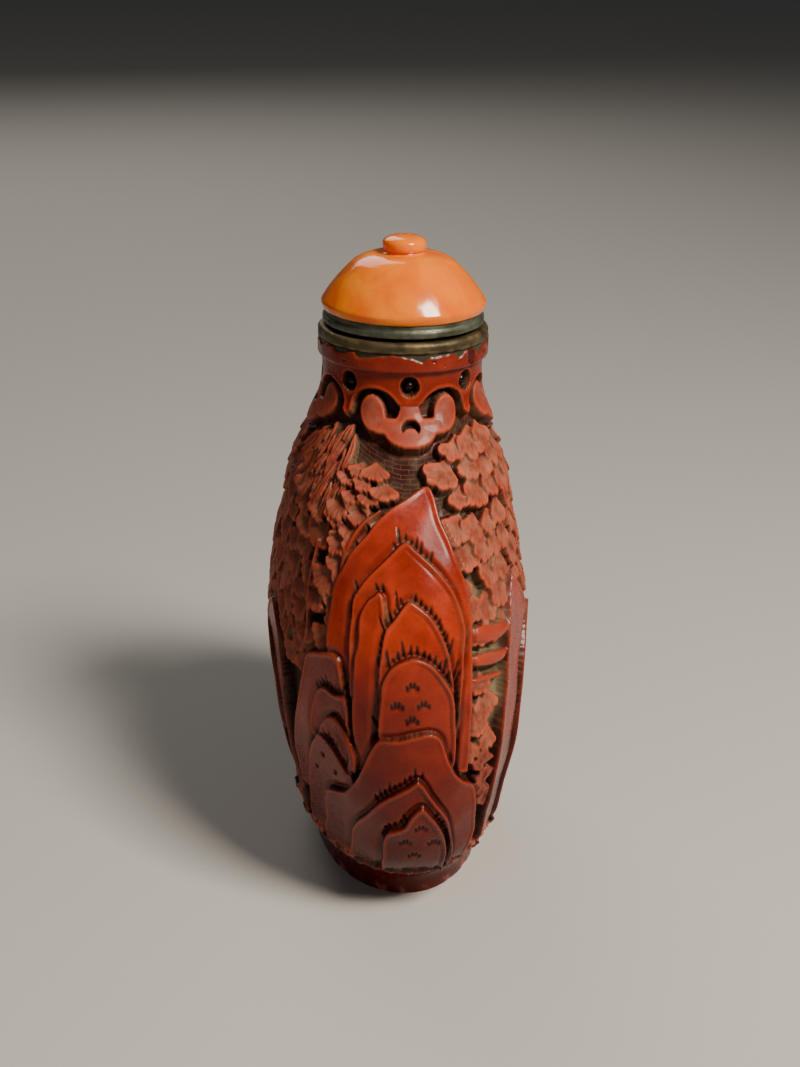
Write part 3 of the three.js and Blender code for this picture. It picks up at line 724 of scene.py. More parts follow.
def growWillow():
    # tiers of narrow leaves fan out from under the collar and droop to the lower left, crossing one another;
    # each tier has its lowest and highest stem in mm and its number of leaves
    dice = np.random.default_rng(77)
    tiers = ((48.2, 49.2, 20), (50.2, 51.4, 22), (52.2, 53.6, 20))
    for tier, (low, high, count) in enumerate(tiers):
        for share in dice.permutation(np.linspace(0, 1, count)):
            angle = -34 - (48 - 5 * tier) * share + dice.uniform(-1, 1)
            top = low + (high - low) * (1 - share) + dice.uniform(-0.9, 0.9)
            blade(angle, top, -16 - 22 * share + dice.uniform(-11, 11), dice.uniform(3.6, 6.2),
                  dice.uniform(0.24, 0.4), dice.uniform(-0.75, -0.5), dice.uniform(0.2, 0.5), 0.7)


def growPine(angle, z, size):
    # needle clusters: small many-pointed fans one over another
    for k in range(3):
        aside = k - 1
        leaf(angle + 3.0 * aside, z - 0.7 * abs(aside), 160 + 25 * aside, size, lobes=9, spread=150,
             rest=-0.4, rise=0.3, seed=900 + int(z * 10) + k, dullness=0.4)


def carveBottle():
    print("carving the ground")
    cutGround()
    print("carving the trees")
    for branch in branches:
        strand(*branch, 0.2)
    for index, grove in enumerate(groves):
        plantGrove(grove, index)
    growWillow()
    plantGrove(nearGrove, len(groves))
    for branch in frontBranches + ledges:
        strand(*branch, 0.2)
    for angle, z in ((30, 20.6), (33, 18.2), (29, 16.6), (36, 15.0)):
        growPine(angle, z, 1.5)
    print("carving the rocks")
    for index, rock in enumerate(rocks):
        carveRock(rock, index)
    carveBorder()
    print("carving the cloud collar")
    carveCollar()


# Pale dust lies thickest round the ledges at the right: (angle, z, reach in mm).
dustPatches = [(33, 33.6, 4.2), (36, 27.5, 3.6), (31, 22.5, 2.6), (27, 38.5, 2.4), (40, 38.0, 3.0),
               (-64, 31.0, 3.0)]


def settleDust():
    # only below dustTop, thickest in the middle of a patch
    dustTop, fade = -0.8, 0.25
    for angle, z, reach in dustPatches:
        where, across, up = near(angle, z, reach)
        thick = smooth(1.3 - np.hypot(across, up) / reach) * smooth((dustTop - lift[where]) / fade)
        dust[where] = np.maximum(dust[where], thick)


def blurred(values, cells):
    # three running means in each direction, wrapped round the bottle and held at its ends
    n = 2 * cells + 1
    for _ in range(3):
        padded = np.concatenate([values[:, -cells - 1:], values, values[:, :cells]], 1)
        total = np.cumsum(padded, 1)
        values = (total[:, n:] - total[:, :-n]) / n
        padded = np.pad(values, ((cells + 1, cells), (0, 0)), "edge")
        total = np.cumsum(padded, 0)
        values = (total[n:] - total[:-n]) / n
    return values


carveBottle()

# The body swells a little more on its left broad side, by so many mm at a height, dying away over a spread.
swelling = {"by": 0.45, "height": 40, "spread": 13}
swollen = np.exp(-((gridZ - swelling["height"]) / swelling["spread"]) ** 2)
lift -= swelling["by"] * np.sin(gridAngle) * swollen

# Steep sides of every raised shape are darkened, dirt and painted shade together, from the slope set below
# in mm per mm.
slopeWithoutDark, slopeToFullDark = 0.5, 0.8
slopeUp = np.gradient(lift, axis=0) / np.gradient(path, axis=0)
slopeAcross = (np.roll(lift, -1, 1) - np.roll(lift, 1, 1)) / (stepAcross + np.roll(stepAcross, 1, 1))
steep = np.clip((np.hypot(slopeUp, slopeAcross) - slopeWithoutDark) / slopeToFullDark, 0, 1)
dirtAndShade = np.maximum(dirtAndShade, steep)

# The carver's edges are a little soft: every layer is averaged with its nearest neighbours.
settleDust()
keep, share = 0.7, 0.15
for layer in (lift, matte, cut, ground, chip, dirtAndShade, dust):
    layer[1:-1] = keep * layer[1:-1] + share * (layer[2:] + layer[:-2])
    layer[:] = keep * layer + share * (np.roll(layer, 1, 1) + np.roll(layer, -1, 1))

# Masks for the material, four values a cell. Carving: how deep a cell lies below its surroundings, dull
# leaf tops, cuts, how far an edge stands out. Wear: ground, broken lacquer, dark lines of dirt and painted
# shade, bare metal.
# Chart: mm round from the front, mm up the skin, dust, and one.
fullRecess, fullEdge, edgeFloor = 0.6, 0.16, -0.9
# recess drives both the painted shade in hollows and where old dust can lie
recess = np.clip((blurred(lift, 7) - lift) / fullRecess, 0, 1)
edge = np.clip((lift - blurred(lift, 2)) / fullEdge, 0, 1) * (lift > edgeFloor)
masks = {
    "carving": np.stack([recess, matte, np.clip(cut, 0, 1), edge], -1),
    "wear": np.stack([ground, chip, dirtAndShade, np.zeros_like(lift)], -1),
}

surface = base + baseNormal * lift[..., None]
surface[..., 2] = np.clip(surface[..., 2], 0, None)    # nothing reaches below the foot
along = np.roll(surface, -1, 1) - np.roll(surface, 1, 1)
rising = np.gradient(surface, axis=0)
surfaceNormal = np.cross(along, rising)
surfaceNormal /= np.linalg.norm(surfaceNormal, axis=-1, keepdims=True)


# What the lacquer's patterns are made of. A noise has the size of its largest blotches in mm, its detail and
# its roughness. A range turns a source from low and high to start and stop; heights are in metres.
lacquerColours = {
    "deep": "#3E0704", "body": "#801D0F", "bright": "#AE351A", "leafBrown": "#783C28", "leafPale": "#AE6A52",
    "floor": "#2C0D07", "oldDust": "#7C6A4C", "rubbedEdgeAndHighlight": "#C04A2C", "nearBlack": "#120302",
    "broken": "#BC6A56", "bareMetal": "#3A3424", "fretLine": "#74402C", "paleDust": "#9C8A68",
}
lacquerNoises = {
    "broadNoise": (9, 2, 0.55), "mottledNoise": (1.6, 4, 0.55), "fine": (0.35, 3, 0.55),
    "grimeNoise": (2.4, 5, 0.65), "grain": (0.5, 4, 0.55), "grit": (0.12, 2, 0.55),
}
lacquerRanges = {
    "broad": ("broadNoise", 0.3, 0.7, 0, 1),
    "mottled": ("mottledNoise", 0.35, 0.7, 0, 1),
    "grime": ("grimeNoise", 0.42, 0.62, 0, 1),
    "paintedLowerShade": ("height", 0.008, 0.036, 0.85, 0),      # painted shade: the lower half darker, as the light falls off lower down
    "neckGrime": ("height", 0.0535, 0.0565, 0, 0.45),  # the neck, out of the hand's reach, keeps its grime
    "wax": ("height", 0.02, 0.034, 0, 0.3),            # pale wax lies in the dirt lines higher up
    "leafCover": ("grime", 0, 1, 0.7, 1),
    # leaf tops take more edge colour, as painted highlight on their edges
    "edgeCover": ("matte", 0, 1, 0.32, 0.65),
    "fretCover": ("mottled", 0, 1, 0.35, 0.8),
    "seamCover": ("mottled", 0, 1, 0.75, 0.97),
    "dustCover": ("mottled", 0, 1, 0.95, 0.45),
    "chipCover": ("fine", 0.35, 0.6, 0.3, 1),
    "satin": ("fine", 0.3, 0.7, -0.06, 0.1),
}
lacquerSums = {
    "fretLines": ("MULTIPLY", "fret", "ground"),
    "mottledPart": ("MULTIPLY", "mottled", 0.35),
    "leafPart": ("MULTIPLY", "matte", "leafCover"),
    "edgePart": ("MULTIPLY", "edge", "edgeCover"),
    # painted shade: cells lying below their surroundings are darkened
    "recessPart": ("MULTIPLY", "recess", 0.75),
    "fretPart": ("MULTIPLY", "fretLines", "fretCover"),
    "groundHold": ("MULTIPLY", "ground", 0.8),
    "recessHold": ("MULTIPLY", "recess", 0.5),
    "hold": ("MAXIMUM", "groundHold", "recessHold"),   # where old dust can lie
    "dusty": ("MULTIPLY", "hold", "grime"),
    "dustyPart": ("MULTIPLY", "dusty", 0.25),
    "waxPart": ("MULTIPLY", "grime", "wax"),
    "seamPart": ("MULTIPLY", "dirtAndShade", "seamCover"),
    "dustPart": ("MULTIPLY", "dust", "dustCover"),
    "chipPart": ("MULTIPLY", "chip", "chipCover"),
    "flatDull": ("MAXIMUM", "matte", "ground"),
    "brokenDull": ("MAXIMUM", "chip", "recessHold"),
    "dull": ("MAXIMUM", "flatDull", "brokenDull"),
    "grainPart": ("MULTIPLY", "grain", 0.4),
    "gritPart": ("MULTIPLY", "grit", 0.3),
    "roughGrain": ("ADD", "grainPart", "gritPart"),
    "carvedGrain": ("SUBTRACT", "roughGrain", "fretLines"),
}
# Each coat covers what lies under it where its mask says so: what it makes, mask, under, over.
lacquerCoats = [
    ("leafTop", "mottled", "leafBrown", "leafPale"),
    # the tone of the dark lines of dirt and painted shade
    ("dirtAndShadeTone", "waxPart", "nearBlack", "paleDust"),
    ("skin", "broad", "body", "bright"),
    ("skin", "mottledPart", "skin", "deep"),
    # painted shade: darker towards the bottom
    ("skin", "paintedLowerShade", "skin", "deep"),
    ("skin", "neckGrime", "skin", "deep"),
    ("skin", "leafPart", "skin", "leafTop"),
    # pale edges: rubbed wear, and painted highlight
    ("skin", "edgePart", "skin", "rubbedEdgeAndHighlight"),
    # painted shade in the recesses
    ("skin", "recessPart", "skin", "deep"),
    ("skin", "ground", "skin", "floor"),
    ("skin", "fretPart", "skin", "fretLine"),
    ("skin", "dustyPart", "skin", "oldDust"),
    # dirt and painted shade along the rock seams and on steep sides
    ("skin", "seamPart", "skin", "dirtAndShadeTone"),
    ("skin", "dustPart", "skin", "paleDust"),
    ("skin", "cut", "skin", "nearBlack"),
    ("skin", "chipPart", "skin", "broken"),
    ("skin", "bare", "skin", "bareMetal"),
]


def lacquerMaterial():
    # Many coats of red lacquer, carved and hand polished: satin gloss on the smooth rocks, dull pinkish
    # brown on the leaf tops, near-black dust and old wax in the deep cuts, pale edges both rubbed and
    # painted as highlight, and painted shade in the recesses, on steep sides and towards the bottom.
    material, tree = newMaterial("carvedRedLacquer")
    made = {name: toLinear(value) for name, value in lacquerColours.items()}
    place = addNode(tree, "ShaderNodeTexCoord").outputs["Object"]
    maskNames = {"carving": ("recess", "matte", "cut", "edge"), "wear": ("ground", "chip", "dirtAndShade", "bare")}
    for layer, names in maskNames.items():
        values = addNode(tree, "ShaderNodeAttribute", {"attribute_name": layer})
        parts = addNode(tree, "ShaderNodeSeparateColor", links={"Color": values.outputs["Color"]})
        made.update(zip(names, list(parts.outputs) + [values.outputs["Alpha"]]))
    chart = addNode(tree, "ShaderNodeAttribute", {"attribute_name": "chart"}).outputs["Vector"]
    made["dust"] = addNode(tree, "ShaderNodeSeparateXYZ", links={"Vector": chart}).outputs["Z"]
    made["height"] = addNode(tree, "ShaderNodeSeparateXYZ", links={"Vector": place}).outputs["Z"]
    # the ground's fret: bricks 1.9 mm long and 0.55 mm high with lines 0.1 mm wide, measured along the skin
    # and swaying by a quarter of a millimetre
    sway = addNode(tree, "ShaderNodeTexNoise", {"Scale": 1000 / 1.6, "Detail": 2.0}, {"Vector": place})
    swayed = addNode(tree, "ShaderNodeVectorMath", {"operation": "MULTIPLY_ADD", 1: (0.5, 0.5, 0.5)},
                     {0: sway.outputs["Color"], 2: chart})
    fret = addNode(tree, "ShaderNodeTexBrick", {"Scale": 1.0, "Mortar Size": 0.05, "Mortar Smooth": 0.4,
                                                "Brick Width": 1.9, "Row Height": 0.55},
                   {"Vector": swayed.outputs["Vector"]})
    made["fret"] = fret.outputs["Fac"]
    for name, (size, detail, roughness) in lacquerNoises.items():
        settings = {"Scale": 1000 / size, "Detail": detail, "Roughness": roughness}
        made[name] = addNode(tree, "ShaderNodeTexNoise", settings, {"Vector": place}).outputs["Fac"]
    for name, (source, low, high, start, stop) in lacquerRanges.items():
        settings = {"From Min": low, "From Max": high, "To Min": start, "To Max": stop}
        made[name] = addNode(tree, "ShaderNodeMapRange", settings, {"Value": made[source]}).outputs["Result"]
    for name, (operation, first, second) in lacquerSums.items():
        links = {0: made[first], 1: made.get(second, second)}
        made[name] = addNode(tree, "ShaderNodeMath", {"operation": operation}, links).outputs["Value"]
    for name, mask, under, over in lacquerCoats:
        links = {"Factor": made[mask], 6: made[under], 7: made[over]}    # 6 and 7 are the colours A and B
        made[name] = addNode(tree, "ShaderNodeMix", {"data_type": "RGBA"}, links).outputs[2]
    satin = addNode(tree, "ShaderNodeMapRange", {"To Min": 0.27, "To Max": 0.78}, {"Value": made["dull"]})
    rough = addNode(tree, "ShaderNodeMath", {"operation": "ADD"},
                    {0: satin.outputs["Result"], 1: made["satin"]})
    bump = addNode(tree, "ShaderNodeBump", {"Strength": 0.35, "Distance": 0.00006},
                   {"Height": made["carvedGrain"]})
    shader = addNode(tree, "ShaderNodeBsdfPrincipled",
                     {"IOR": 1.5, "Specular IOR Level": 0.2, "Coat Weight": 0.08, "Coat Roughness": 0.15},
                     {"Base Color": made["skin"], "Roughness": rough.outputs["Value"],
                      "Normal": bump.outputs["Normal"]})
    addNode(tree, "ShaderNodeOutputMaterial", links={"Surface": shader.outputs["BSDF"]})
    return material


def metalMaterial(name, tarnish, bright, pale, roughness):
    # Old brass or copper alloy gone brown green: dull tarnish, rubbed brighter in patches and on the edges.
    material, tree = newMaterial(name)
    place = addNode(tree, "ShaderNodeTexCoord").outputs["Object"]
    wear = addNode(tree, "ShaderNodeAttribute", {"attribute_name": "wear"})
    parts = addNode(tree, "ShaderNodeSeparateColor", links={"Color": wear.outputs["Color"]})
    # tarnish in patches of 2.2 mm with pits of 0.3 mm
    patches = addNode(tree, "ShaderNodeTexNoise", {"Scale": 1000 / 2.2, "Detail": 5.0}, {"Vector": place})
    pits = addNode(tree, "ShaderNodeTexNoise", {"Scale": 1000 / 0.3, "Detail": 3.0}, {"Vector": place})
    ramp = addNode(tree, "ShaderNodeMapRange", {"From Min": 0.4, "From Max": 0.65},
                   {"Value": patches.outputs["Fac"]})
    patched = addNode(tree, "ShaderNodeMix", {"data_type": "RGBA"},
                      {"Factor": ramp.outputs["Result"], 6: toLinear(tarnish), 7: toLinear(bright)})
    rubbed = addNode(tree, "ShaderNodeMath", {"operation": "MULTIPLY"}, {0: parts.outputs["Red"], 1: 0.35})
    colour = addNode(tree, "ShaderNodeMix", {"data_type": "RGBA"},
                     {"Factor": rubbed.outputs["Value"], 6: patched.outputs[2], 7: toLinear(pale)})
    span = {"From Min": 0.3, "From Max": 0.7, "To Min": roughness - 0.12, "To Max": roughness + 0.15}
    rough = addNode(tree, "ShaderNodeMapRange", span, {"Value": pits.outputs["Fac"]})
    bump = addNode(tree, "ShaderNodeBump", {"Strength": 0.4, "Distance": 0.00005},
                   {"Height": pits.outputs["Fac"]})
    shader = addNode(tree, "ShaderNodeBsdfPrincipled", {"Metallic": 0.75},
                     {"Base Color": colour.outputs[2], "Roughness": rough.outputs["Result"],
                      "Normal": bump.outputs["Normal"]})
    addNode(tree, "ShaderNodeOutputMaterial", links={"Surface": shader.outputs["BSDF"]})
    return material


def capMaterial():
    # Cloudy orange glass, moulded and polished: light soaks in and comes back orange, under a wet gloss.
    material, tree = newMaterial("cloudyOrangeGlass")
    place = addNode(tree, "ShaderNodeTexCoord").outputs["Object"]
    # clouds of 5 mm and a ripple of 1.1 mm left by the mould
    clouds = addNode(tree, "ShaderNodeTexNoise", {"Scale": 1000 / 5, "Detail": 4.0, "Distortion": 0.8},
                     {"Vector": place})
    ramp = addNode(tree, "ShaderNodeMapRange", {"From Min": 0.35, "From Max": 0.7},
                   {"Value": clouds.outputs["Fac"]})
    tint = addNode(tree, "ShaderNodeMix", {"data_type": "RGBA"},
                   {"Factor": ramp.outputs["Result"], 6: toLinear("#E26400"), 7: toLinear("#F68800")})
    ripple = addNode(tree, "ShaderNodeTexNoise", {"Scale": 1000 / 1.1, "Detail": 2.0}, {"Vector": place})
    bump = addNode(tree, "ShaderNodeBump", {"Strength": 0.15, "Distance": 0.00005},
                   {"Height": ripple.outputs["Fac"]})
    shader = addNode(tree, "ShaderNodeBsdfPrincipled",
                     {"Roughness": 0.15, "IOR": 1.52, "Specular IOR Level": 0.3, "Subsurface Weight": 0.4,
                      "Subsurface Scale": 0.002, "Subsurface Radius": (1.0, 0.42, 0.12), "Coat Weight": 0.2,
                      "Coat Roughness": 0.08},
                     {"Base Color": tint.outputs[2], "Normal": bump.outputs["Normal"]})
    addNode(tree, "ShaderNodeOutputMaterial", links={"Surface": shader.outputs["BSDF"]})
    return material


def reliefPanel(index, material):
    # one upright strip of the carved skin: the carved grid outside, a plain grid behind it, walls between
    count = relief["columnsPerPanel"]
    columns = (index * count + np.arange(count + 1)) % columnCount
    group = count // relief["backColumns"]
    behind = columns[::group]
    outside = surface[:, columns].reshape(-1, 3)
    inside = (base - relief["backing"] * baseNormal)[:, behind].reshape(-1, 3)
    inside[:, 2] = np.clip(inside[:, 2], 0, None)
    points = np.concatenate([outside, inside])
    rows = relief["rows"]
    width, backWidth = count + 1, len(behind)
    corner = np.arange(rows * width).reshape(rows, width)
    back = np.arange(rows * backWidth).reshape(rows, backWidth) + rows * width

    def quads(a):
        return np.stack([a[:-1, :-1], a[:-1, 1:], a[1:, 1:], a[1:, :-1]], -1).reshape(-1, 4)

    left = np.stack([corner[1:, 0], back[1:, 0], back[:-1, 0], corner[:-1, 0]], -1)
    right = np.stack([corner[:-1, -1], back[:-1, -1], back[1:, -1], corner[1:, -1]], -1)
    faces = np.concatenate([quads(corner), quads(back)[:, ::-1], left, right]).tolist()
    for k in range(backWidth - 1):
        span = slice(k * group, (k + 1) * group + 1)
        faces.append(corner[0, span][::-1].tolist() + [int(back[0, k]), int(back[0, k + 1])])
        faces.append(corner[-1, span].tolist() + [int(back[-1, k + 1]), int(back[-1, k])])
    normals = np.concatenate([surfaceNormal[:, columns].reshape(-1, 3),
                              -baseNormal[:, behind].reshape(-1, 3)])
    panelArc = (fullArc - fromFront)[:, index * count:(index + 1) * count + 1]
    panel = {name: values[:, columns] for name, values in masks.items()}
    panel["chart"] = np.stack([panelArc, path[:, columns], dust[:, columns], np.ones_like(panelArc)], -1)
    layers = {name: np.concatenate([values.reshape(-1, 4), np.zeros((len(inside), 4))])
              for name, values in panel.items()}
    return meshObject(f"carved_skin_{index + 1}", points, faces, material, normals, layers)


def ringStack(thick, wide, z, columns):
    # ovals stacked along a profile: x = thick * sin(turn), y = -wide * cos(turn); returns points and turns
    turn = np.linspace(0, 2 * np.pi, columns, endpoint=False)
    upright = np.broadcast_to(z[:, None], (len(z), columns))
    body = np.stack([thick[:, None] * np.sin(turn), -wide[:, None] * np.cos(turn), upright], -1)
    return body, np.broadcast_to(turn, body.shape[:2])


def ringFaces(rows, columns, capped=True):
    # four-sided faces between neighbouring rings, with a fan to one more point at each end, or, for a ring
    # with a hole, with the last row joined to the first
    corner = np.arange(rows * columns).reshape(rows, columns)
    following = np.roll(corner, -1, 1)
    faces = np.stack([corner[:-1], following[:-1], following[1:], corner[1:]], -1).reshape(-1, 4).tolist()
    if capped:
        first, last = rows * columns, rows * columns + 1
        faces += np.stack([np.full(columns, first), following[0], corner[0]], -1).tolist()
        faces += np.stack([np.full(columns, last), corner[-1], following[-1]], -1).tolist()
    else:
        faces += np.stack([corner[-1], following[-1], following[0], corner[0]], -1).tolist()
    return faces


def densified(points, spacing):
    # a profile of straight runs cut into even steps no longer than spacing
    points = np.asarray(points, float)
    out = [points[:1]]
    for start, stop in zip(points[:-1], points[1:]):
        steps = max(1, int(np.ceil(np.linalg.norm(stop - start) / spacing)))
        out.append(start + (stop - start) * (np.arange(1, steps + 1) / steps)[:, None])
    return np.concatenate(out)


vessel = {
    "columns": 320, "wall": 3.0, "floor": 5.0, "bore": 5.5, "boreStep": 58.0, "cavityTop": 53.5,
    "skinBack": 1.8,         # the vessel's outside lies this far behind the outer surface
    "shoulderWall": 1.6,     # the wall is this much thicker near the shoulder
    "floorRound": 1.4, "floorIn": 2.5,
}


# How the lip is worn: shares are of its height, depths in mm, the broken place in radians round it.
lipWear = {
    "raggedTop": 0.74, "ragged": 0.24, "jagged": 0.08,                  # the flaked upper edge
    "breakAt": 0.82, "breakHalf": 0.075, "breakFoot": 0.12,             # one larger piece gone
    "nickFrom": 0.8, "depth": 0.2, "unevenness": 0.03,
}


def bottleCore(material):
    # the hollow vessel behind the carved skin: up its outside, round the lip, down the bore and the inside
    v, f, w = vessel, form, lipWear
    radius, bottom, top = f["lipRadius"], f["lipBottom"], f["mouth"]
    low = np.array([0.05, 2.2, 4.5, 7.0, 12, 18, 25, 32, 38, 43, 47, 50, 52.5, 55, 57.5, bottom - 0.05])
    cavityZ = np.array([50, 46, 41, 35, 28, 21, 15, 10, v["floor"] + v["floorRound"]])
    lip = densified([(section(bottom)[0] - 0.1, bottom), (radius - 0.3, bottom),
                     (radius - 0.08, bottom + 0.08), (radius, bottom + 0.3), (radius, top - 0.12),
                     (radius - 0.12, top)], 0.09)
    boreZ = [top, v["boreStep"], v["cavityTop"]]
    sides = []
    for outer, inner, floor in zip(section(low), section(cavityZ), section(v["floor"])):
        outer = outer - v["skinBack"] * np.hypot(1, np.gradient(outer, low))
        inner = inner - v["wall"] - v["shoulderWall"] * smooth((cavityZ - 40) / 10)
        sides.append(np.concatenate([outer[:1] * 0.5, outer, lip[:, 0], [v["bore"]] * len(boreZ), inner,
                                     [floor - v["wall"] - v["floorIn"]]]))
    z = np.concatenate([low[:1], low, lip[:, 1], boreZ, cavityZ, [v["floor"]]])
    body, turns = ringStack(*sides, z, v["columns"])
    rows = slice(1 + len(low), 1 + len(low) + len(lip))
    height = (body[rows, :, 2] - bottom) / (top - bottom)
    around = turns[rows]
    ragged = w["raggedTop"] + w["ragged"] * wander(21, 7, 4, around, height * 2)
    ragged += w["jagged"] * wander(22, 2.2, 1.5, around, height * 2)
    flaked = smooth((height - ragged) / 0.1)
    fromBreak = np.abs(np.arctan2(np.sin(around - w["breakAt"]), np.cos(around - w["breakAt"])))
    patch = smooth((w["breakHalf"] - fromBreak) / 0.02)
    patch *= smooth((height - w["breakFoot"] + 0.1 * wander(23, 2, 2, around, height * 2)) / 0.08)
    nicks = smooth((wander(24, 3.2, 1.6, around, height * 3) - w["nickFrom"]) / 0.2) * (height > 0.2)
    worn = np.maximum(np.maximum(flaked, patch), nicks * 0.8)
    push = w["depth"] * worn - w["unevenness"] * wander(25, 5, 3, around, height * 2)
    body[rows, :, :2] *= (1 - push / radius)[..., None]
    carving = np.zeros(body.shape[:2] + (4,))
    wear = np.zeros_like(carving)
    carving[rows, :, 3] = np.clip(blurredRows(worn) - worn, 0, 0.5)
    carving[rows, :, 2] = patch * 0.75
    wear[rows, :, 3] = flaked
    faces = ringFaces(len(z), v["columns"])
    points = np.concatenate([body.reshape(-1, 3), [[0, 0, z[0]], [0, 0, z[-1]]]])
    layers = {name: np.concatenate([layer.reshape(-1, 4), np.zeros((2, 4))])
              for name, layer in (("carving", carving), ("wear", wear))}
    return meshObject("hollow_vessel", points, faces, material, None, layers)


def blurredRows(values):
    # a mean of each cell with its two neighbours on each side round the ring
    return sum(np.roll(values, step, 1) for step in (0, 1, -1, 2, -2)) / 5


def turnedPiece(name, profile, columns, material, unevenness, seed, spacing, capped=True):
    # a profile of (radius, height) turned about the upright axis, a little uneven as old hand work is, and
    # rubbed where the profile turns a corner; without caps it is a closed outline round a hole
    profile = densified(profile, spacing)
    if not capped:
        profile = profile[:-1]
    radius, z = profile.T
    body, around = ringStack(radius, radius, z, columns)
    height = body[..., 2].copy()
    push = unevenness * (wander(seed, 9, 5, around, height) + 0.5 * wander(seed + 1, 2, 1.5, around, height))
    outer, innerShare = radius.max(), 0.55    # the inner part stays true
    scale = 1 - unevenness / outer + push / outer * (radius > innerShare * outer)[:, None]
    body[..., :2] *= scale[..., None]
    corner = np.gradient(np.unwrap(np.arctan2(np.gradient(z), np.gradient(radius))))
    rubbed = np.clip(np.abs(corner) * 1.2, 0, 1)[:, None]
    layer = np.zeros(body.shape[:2] + (4,))
    layer[..., 0] = rubbed * smooth(0.5 + 0.8 * wander(seed + 2, 3, 2, around, height))
    layer[..., 3] = 1
    points, layer = body.reshape(-1, 3), layer.reshape(-1, 4)
    if capped:
        points = np.concatenate([points, [[0, 0, z[0]], [0, 0, z[-1]]]])
        layer = np.concatenate([layer, np.zeros((2, 4))])
    faces = ringFaces(len(z), columns, capped)
    return meshObject(name, points, faces, material, None, {"wear": layer})


# Heights and radii of the ring and the stopper; a pair is a radius and a height.
stopper = {
    "ringTop": 62.8, "ringRadius": 9.32, "ringBevel": 0.28,
    "spigot": 5.1, "spigotBottom": 59.0, "seat": 7.6, "discBottom": 63.2, "discRadius": 8.83, "step": 8.62,
    "stepHeight": 63.9, "discTop": 64.6,
    "capEdge": 8.75, "rim": (9.03, 65.4), "slope": (7.7, 67.6), "shoulder": (5.5, 69.6),
    "crown": (2.7, 70.45), "waist": (2.05, 70.75), "knob": (2.38, 71.5), "knobTop": 72.38,
    "pole": 0.02,    # a profile starts and ends this far from the axis, and one point closes it
    "softEdge": 0.05,
}


def arcTo(start, control, end, steps):
    # a quadratic curve: (1 - t)^2 start + 2 t (1 - t) control + t^2 end
    t = np.linspace(0, 1, steps + 1)[1:, None]
    return (1 - t) ** 2 * np.array(start) + 2 * t * (1 - t) * np.array(control) + t ** 2 * np.array(end)


def capProfile():
    # up the rim, over the domed slope and the shoulder, in to the waist, round the knob and to the axis
    s = stopper
    bottom, crownHeight = s["discTop"], s["crown"][1]
    start = (s["capEdge"] + 0.06, bottom + 0.06)
    runs = [
        np.array([(s["pole"], bottom), (s["capEdge"], bottom), start]),
        arcTo(start, (s["rim"][0] - 0.02, s["rim"][1] - 0.35), s["rim"], 8),
        arcTo(s["rim"], s["slope"], s["shoulder"], 18),
        arcTo(s["shoulder"], (s["crown"][0] + 1.5, crownHeight), s["crown"], 12),
        arcTo(s["crown"], (s["waist"][0], crownHeight), s["waist"], 8),
        arcTo(s["waist"], (s["knob"][0], s["waist"][1]), s["knob"], 10),
        arcTo(s["knob"], (s["knob"][0], s["knobTop"]), (s["pole"], s["knobTop"]), 12),
    ]
    return np.concatenate(runs)


def ringProfile():
    # a flat band from the bore to the lip's edge, with its upper outer edge bevelled
    s, bore, bottom = stopper, vessel["bore"], form["mouth"]
    return [(bore, bottom), (s["ringRadius"], bottom), (s["ringRadius"], s["ringTop"] - s["ringBevel"]),
            (s["ringRadius"] - s["ringBevel"], s["ringTop"]), (bore, s["ringTop"]), (bore, bottom)]


def discProfile():
    # the spigot, the seat on the ring, and the disc with a small step near its top
    s, soft = stopper, stopper["softEdge"]
    seat, wider = s["ringTop"] + 0.02, 0.08
    return [(s["pole"], s["spigotBottom"]), (s["spigot"] - 0.5, s["spigotBottom"]),
            (s["spigot"], s["spigotBottom"] + 0.5), (s["spigot"], seat), (s["seat"], seat),
            (s["seat"], s["discBottom"]), (s["discRadius"] - wider, s["discBottom"]),
            (s["discRadius"], s["discBottom"] + wider), (s["discRadius"], s["stepHeight"] - wider),
            (s["discRadius"] - 0.06, s["stepHeight"]), (s["step"], s["stepHeight"] + soft),
            (s["step"], s["discTop"] - soft), (s["step"] - soft, s["discTop"]), (s["pole"], s["discTop"])]


def declare(piece, node):
    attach(piece, "root")
    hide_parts(node)


lacquer = lacquerMaterial()
print("making the carved skin")
for panel in range(relief["panels"]):
    declare(reliefPanel(panel, lacquer), "bottle_body")
print("making the vessel behind it")
declare(bottleCore(lacquer), "bottle_body")

print("making the mouth ring and the stopper")
ringMetal = metalMaterial("tarnishedRingMetal", "#453B28", "#6B5B3C", "#A89670", 0.55)
mouthRing = turnedPiece("mouth_ring_metal", ringProfile(), 240, ringMetal, 0.05, 31, 0.25, capped=False)
declare(mouthRing, "mouth_ring")
discMetal = metalMaterial("tarnishedDiscMetal", "#46483A", "#66685A", "#97967C", 0.5)
stopperDisc = turnedPiece("stopper_disc", discProfile(), 240, discMetal, 0.03, 35, 0.35)
declare(stopperDisc, "stopper_collar")
stopperDome = turnedPiece("stopper_dome", capProfile(), 200, capMaterial(), 0.02, 38, 0.35)
declare(stopperDome, "stopper_cap")

# Camera: the view down on to the narrow front end; mm, degrees, and the lens in mm on a 36 mm film.
view = {"aim": (0, 0, 37.75), "distance": 178.0, "elevation": 22.5, "azimuth": -5.0, "roll": -0.9,
        "lens": 51.96}


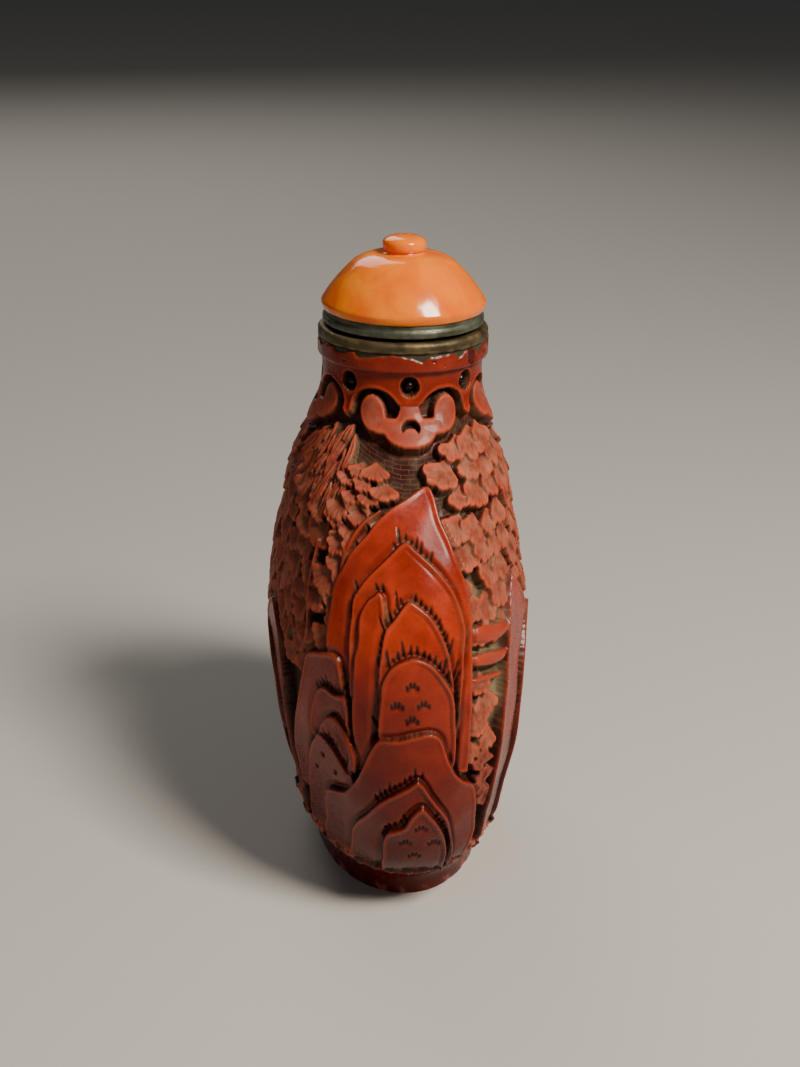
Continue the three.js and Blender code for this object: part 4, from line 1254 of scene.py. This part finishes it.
def addCamera():
    elevation, azimuth, roll = (math.radians(view[k]) for k in ("elevation", "azimuth", "roll"))
    forward = Vector((-math.sin(azimuth) * math.cos(elevation), math.cos(azimuth) * math.cos(elevation),
                      -math.sin(elevation)))
    right = Vector((math.cos(azimuth), math.sin(azimuth), 0))
    upright = right.cross(forward)
    tiltedRight = math.cos(roll) * right - math.sin(roll) * upright
    tiltedUp = math.sin(roll) * right + math.cos(roll) * upright
    eye = (Vector(view["aim"]) - view["distance"] * forward) * mm
    data = bpy.data.cameras.new("viewCamera")
    data.lens = view["lens"]
    data.sensor_width = 36
    data.clip_start = 0.01
    camera = bpy.data.objects.new("viewCamera", data)
    bpy.context.scene.collection.objects.link(camera)
    axes = Matrix((tiltedRight, tiltedUp, -forward)).transposed()
    camera.matrix_world = Matrix.Translation(eye) @ axes.to_4x4()
    bpy.context.scene.camera = camera


def addLight(name, place, size, power, colour):
    # a square soft light aimed at the middle of the bottle; place in metres
    data = bpy.data.lights.new(name, "AREA")
    data.shape = "SQUARE"
    data.size = size
    data.energy = power
    data.color = colour
    light = bpy.data.objects.new(name, data)
    light.location = place
    middle = Vector((0, 0, 0.04))
    light.rotation_euler = (middle - Vector(place)).to_track_quat("-Z", "Y").to_euler()
    bpy.context.scene.collection.objects.link(light)


def addStage():
    # a plain pale floor, 8 m square, and a dim even room
    half = 4 / mm
    material, tree = newMaterial("paleFloor")
    shader = addNode(tree, "ShaderNodeBsdfPrincipled", {"Base Color": toLinear("#BAB6AF"), "Roughness": 0.9})
    addNode(tree, "ShaderNodeOutputMaterial", links={"Surface": shader.outputs["BSDF"]})
    corners = np.array([(-half, -half, 0), (half, -half, 0), (half, half, 0), (-half, half, 0)])
    floor = meshObject("floor", corners, [[0, 1, 2, 3]], material)
    world = bpy.data.worlds.new("softRoom")
    world.use_nodes = True
    background = world.node_tree.nodes["Background"]
    background.inputs["Color"].default_value = (0.9, 0.93, 1.0, 1)
    background.inputs["Strength"].default_value = 0.055
    bpy.context.scene.world = world


addCamera()
addStage()
addLight("keyLight", (0.155, -0.17, 0.3), 0.1, 2.1, (1.0, 0.93, 0.82))
addLight("fillLight", (-0.4, -0.45, 0.3), 0.5, 0.22, (0.95, 0.96, 1.0))
addLight("backLight", (-0.15, 0.5, 0.45), 0.35, 1.2, (1.0, 0.97, 0.92))
